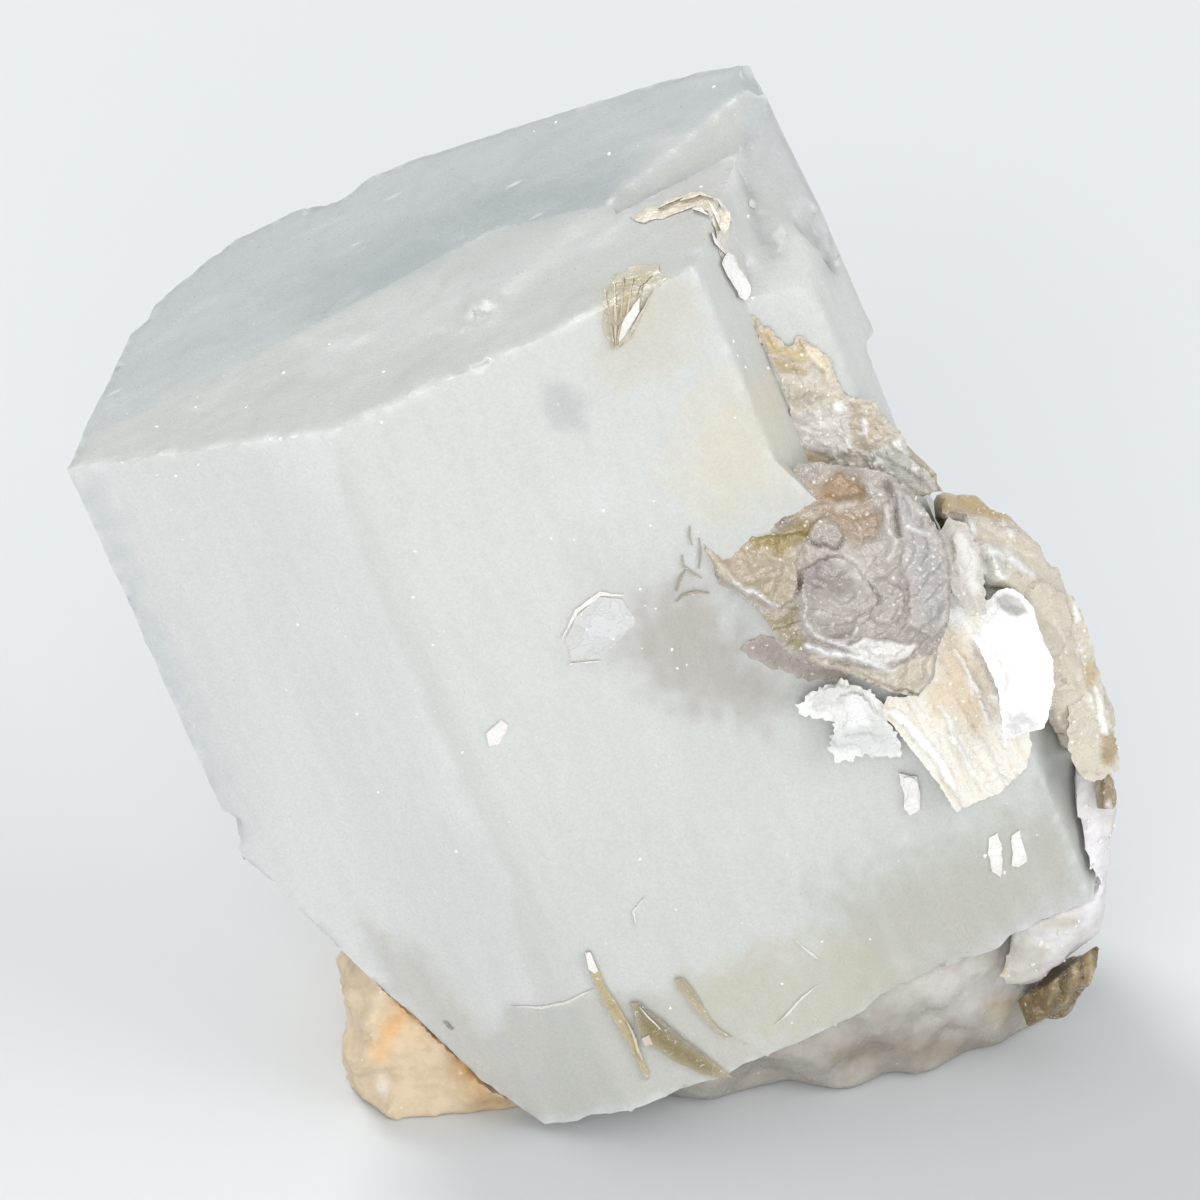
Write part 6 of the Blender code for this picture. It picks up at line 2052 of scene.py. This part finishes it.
def lamp(name, towards, spread_deg, strength, tone):
    """A far, soft light that shines from the given direction."""
    light = bpy.data.lights.new(name, "SUN")
    light.angle = math.radians(spread_deg)
    light.energy = strength
    light.color = tone
    made = bpy.data.objects.new(name, light)
    bpy.context.scene.collection.objects.link(made)
    made.rotation_euler = Vector(towards).to_track_quat("Z", "Y").to_euler()


def studio(settings):
    scene = bpy.context.scene
    floor_piece(settings)
    world = bpy.data.worlds.new("studio_sky")
    world.use_nodes = True
    sky = world.node_tree.nodes["Background"]
    sky.inputs["Color"].default_value = (0.93, 0.97, 1.0, 1.0)
    sky.inputs["Strength"].default_value = settings.sky
    scene.world = world
    lamp("key_light", (-0.42, 0.46, 0.79), 22, settings.key, (1.0, 0.99, 0.97))
    lamp("front_light", (-0.10, -0.92, 0.36), 40, settings.front, (1.0, 1.0, 0.99))
    lamp("side_light", (0.80, -0.35, 0.48), 50, 0.60 * settings.front, (1.0, 1.0, 1.0))
    scene.view_settings.view_transform = "Standard"
    scene.cycles.max_bounces = 4
    scene.cycles.diffuse_bounces = 2
    scene.cycles.glossy_bounces = 1
    scene.cycles.transmission_bounces = 3
    lens = bpy.data.cameras.new("camera")
    lens.lens = settings.lens
    lens.sensor_width = 36.0
    camera = bpy.data.objects.new("camera", lens)
    scene.collection.objects.link(camera)
    distance = settings.view_width * settings.lens / lens.sensor_width
    camera.location = SIGHT @ Vector((0, 0, distance / MM))
    camera.rotation_euler = (math.radians(90 - SIGHT_ELEVATION), 0.0, 0.0)
    lens.clip_start = distance * 0.1
    lens.clip_end = distance * 20
    scene.camera = camera


# ---- operators and panel ----

class SPECIMEN_OT_crystal(bpy.types.Operator):
    """Build the aquamarine crystal."""
    bl_idname = "specimen.crystal"
    bl_label = "Aquamarine crystal"

    def execute(self, context):
        crystal_piece(context.scene.specimen_crystal)
        return {"FINISHED"}


class SPECIMEN_OT_matrix(bpy.types.Operator):
    """Build the feldspar, the quartz and the albite."""
    bl_idname = "specimen.matrix"
    bl_label = "Matrix stones"

    def execute(self, context):
        settings = context.scene.specimen_matrix
        feldspar_piece(settings)
        quartz_piece(settings)
        albite_piece(settings)
        return {"FINISHED"}


class SPECIMEN_OT_mica_books(bpy.types.Operator):
    """Build the books, plates and fans of mica."""
    bl_idname = "specimen.mica_books"
    bl_label = "Mica books and fans"

    def execute(self, context):
        main_book_piece(context.scene.specimen_mica)
        silver_piece()
        fan_piece()
        white_fan_piece()
        brown_books_piece()
        edge_book_piece()
        return {"FINISHED"}


class SPECIMEN_OT_mica_masses(bpy.types.Operator):
    """Build the golden shell and the gold cluster."""
    bl_idname = "specimen.mica_masses"
    bl_label = "Golden mica masses"

    def execute(self, context):
        shell_piece()
        cluster_piece()
        return {"FINISHED"}


class SPECIMEN_OT_mica_flakes(bpy.types.Operator):
    """Build the crest, the spray, the blades and the loose flecks."""
    bl_idname = "specimen.mica_flakes"
    bl_label = "Small mica on the crystal"

    def execute(self, context):
        crest_piece()
        spray_piece()
        blade_pieces()
        fleck_piece()
        return {"FINISHED"}


class SPECIMEN_OT_grains(bpy.types.Operator):
    """Scatter white specks on the crystal and sugary grains on the mica."""
    bl_idname = "specimen.grains"
    bl_label = "Specks and grains"

    def execute(self, context):
        speck_piece()
        sugar_piece(context.scene.specimen_mica)
        return {"FINISHED"}


class SPECIMEN_OT_studio(bpy.types.Operator):
    """Set up the floor, the lights and the camera."""
    bl_idname = "specimen.studio"
    bl_label = "Studio"

    def execute(self, context):
        studio(context.scene.specimen_studio)
        return {"FINISHED"}


class SPECIMEN_PT_maker(bpy.types.Panel):
    """The specimen's operators and the values they read."""
    bl_label = "Aquamarine specimen"
    bl_idname = "SPECIMEN_PT_maker"
    bl_space_type = "VIEW_3D"
    bl_region_type = "UI"
    bl_category = "Specimen"

    def draw(self, context):
        for operator in OPERATORS:
            self.layout.operator(operator.bl_idname)
        for name, group in SETTINGS.items():
            box = self.layout.box()
            for value in group.__annotations__:
                box.prop(getattr(context.scene, name), value)


SETTINGS = {
    "specimen_crystal": SPECIMEN_PG_crystal,
    "specimen_matrix": SPECIMEN_PG_matrix,
    "specimen_mica": SPECIMEN_PG_mica,
    "specimen_studio": SPECIMEN_PG_studio,
}
OPERATORS = (
    SPECIMEN_OT_studio, SPECIMEN_OT_crystal, SPECIMEN_OT_matrix, SPECIMEN_OT_mica_books,
    SPECIMEN_OT_mica_masses, SPECIMEN_OT_mica_flakes, SPECIMEN_OT_grains,
)


def register():
    for name, group in SETTINGS.items():
        bpy.utils.register_class(group)
        setattr(bpy.types.Scene, name, PointerProperty(type=group))
    for operator in OPERATORS:
        bpy.utils.register_class(operator)
    bpy.utils.register_class(SPECIMEN_PT_maker)


def unregister():
    bpy.utils.unregister_class(SPECIMEN_PT_maker)
    for operator in reversed(OPERATORS):
        bpy.utils.unregister_class(operator)
    for name, group in SETTINGS.items():
        delattr(bpy.types.Scene, name)
        bpy.utils.unregister_class(group)


def main():
    register()
    bpy.ops.specimen.studio()
    bpy.ops.specimen.crystal()
    bpy.ops.specimen.matrix()
    bpy.ops.specimen.mica_books()
    bpy.ops.specimen.mica_masses()
    bpy.ops.specimen.mica_flakes()
    bpy.ops.specimen.grains()


if __name__ == "__main__":
    main()
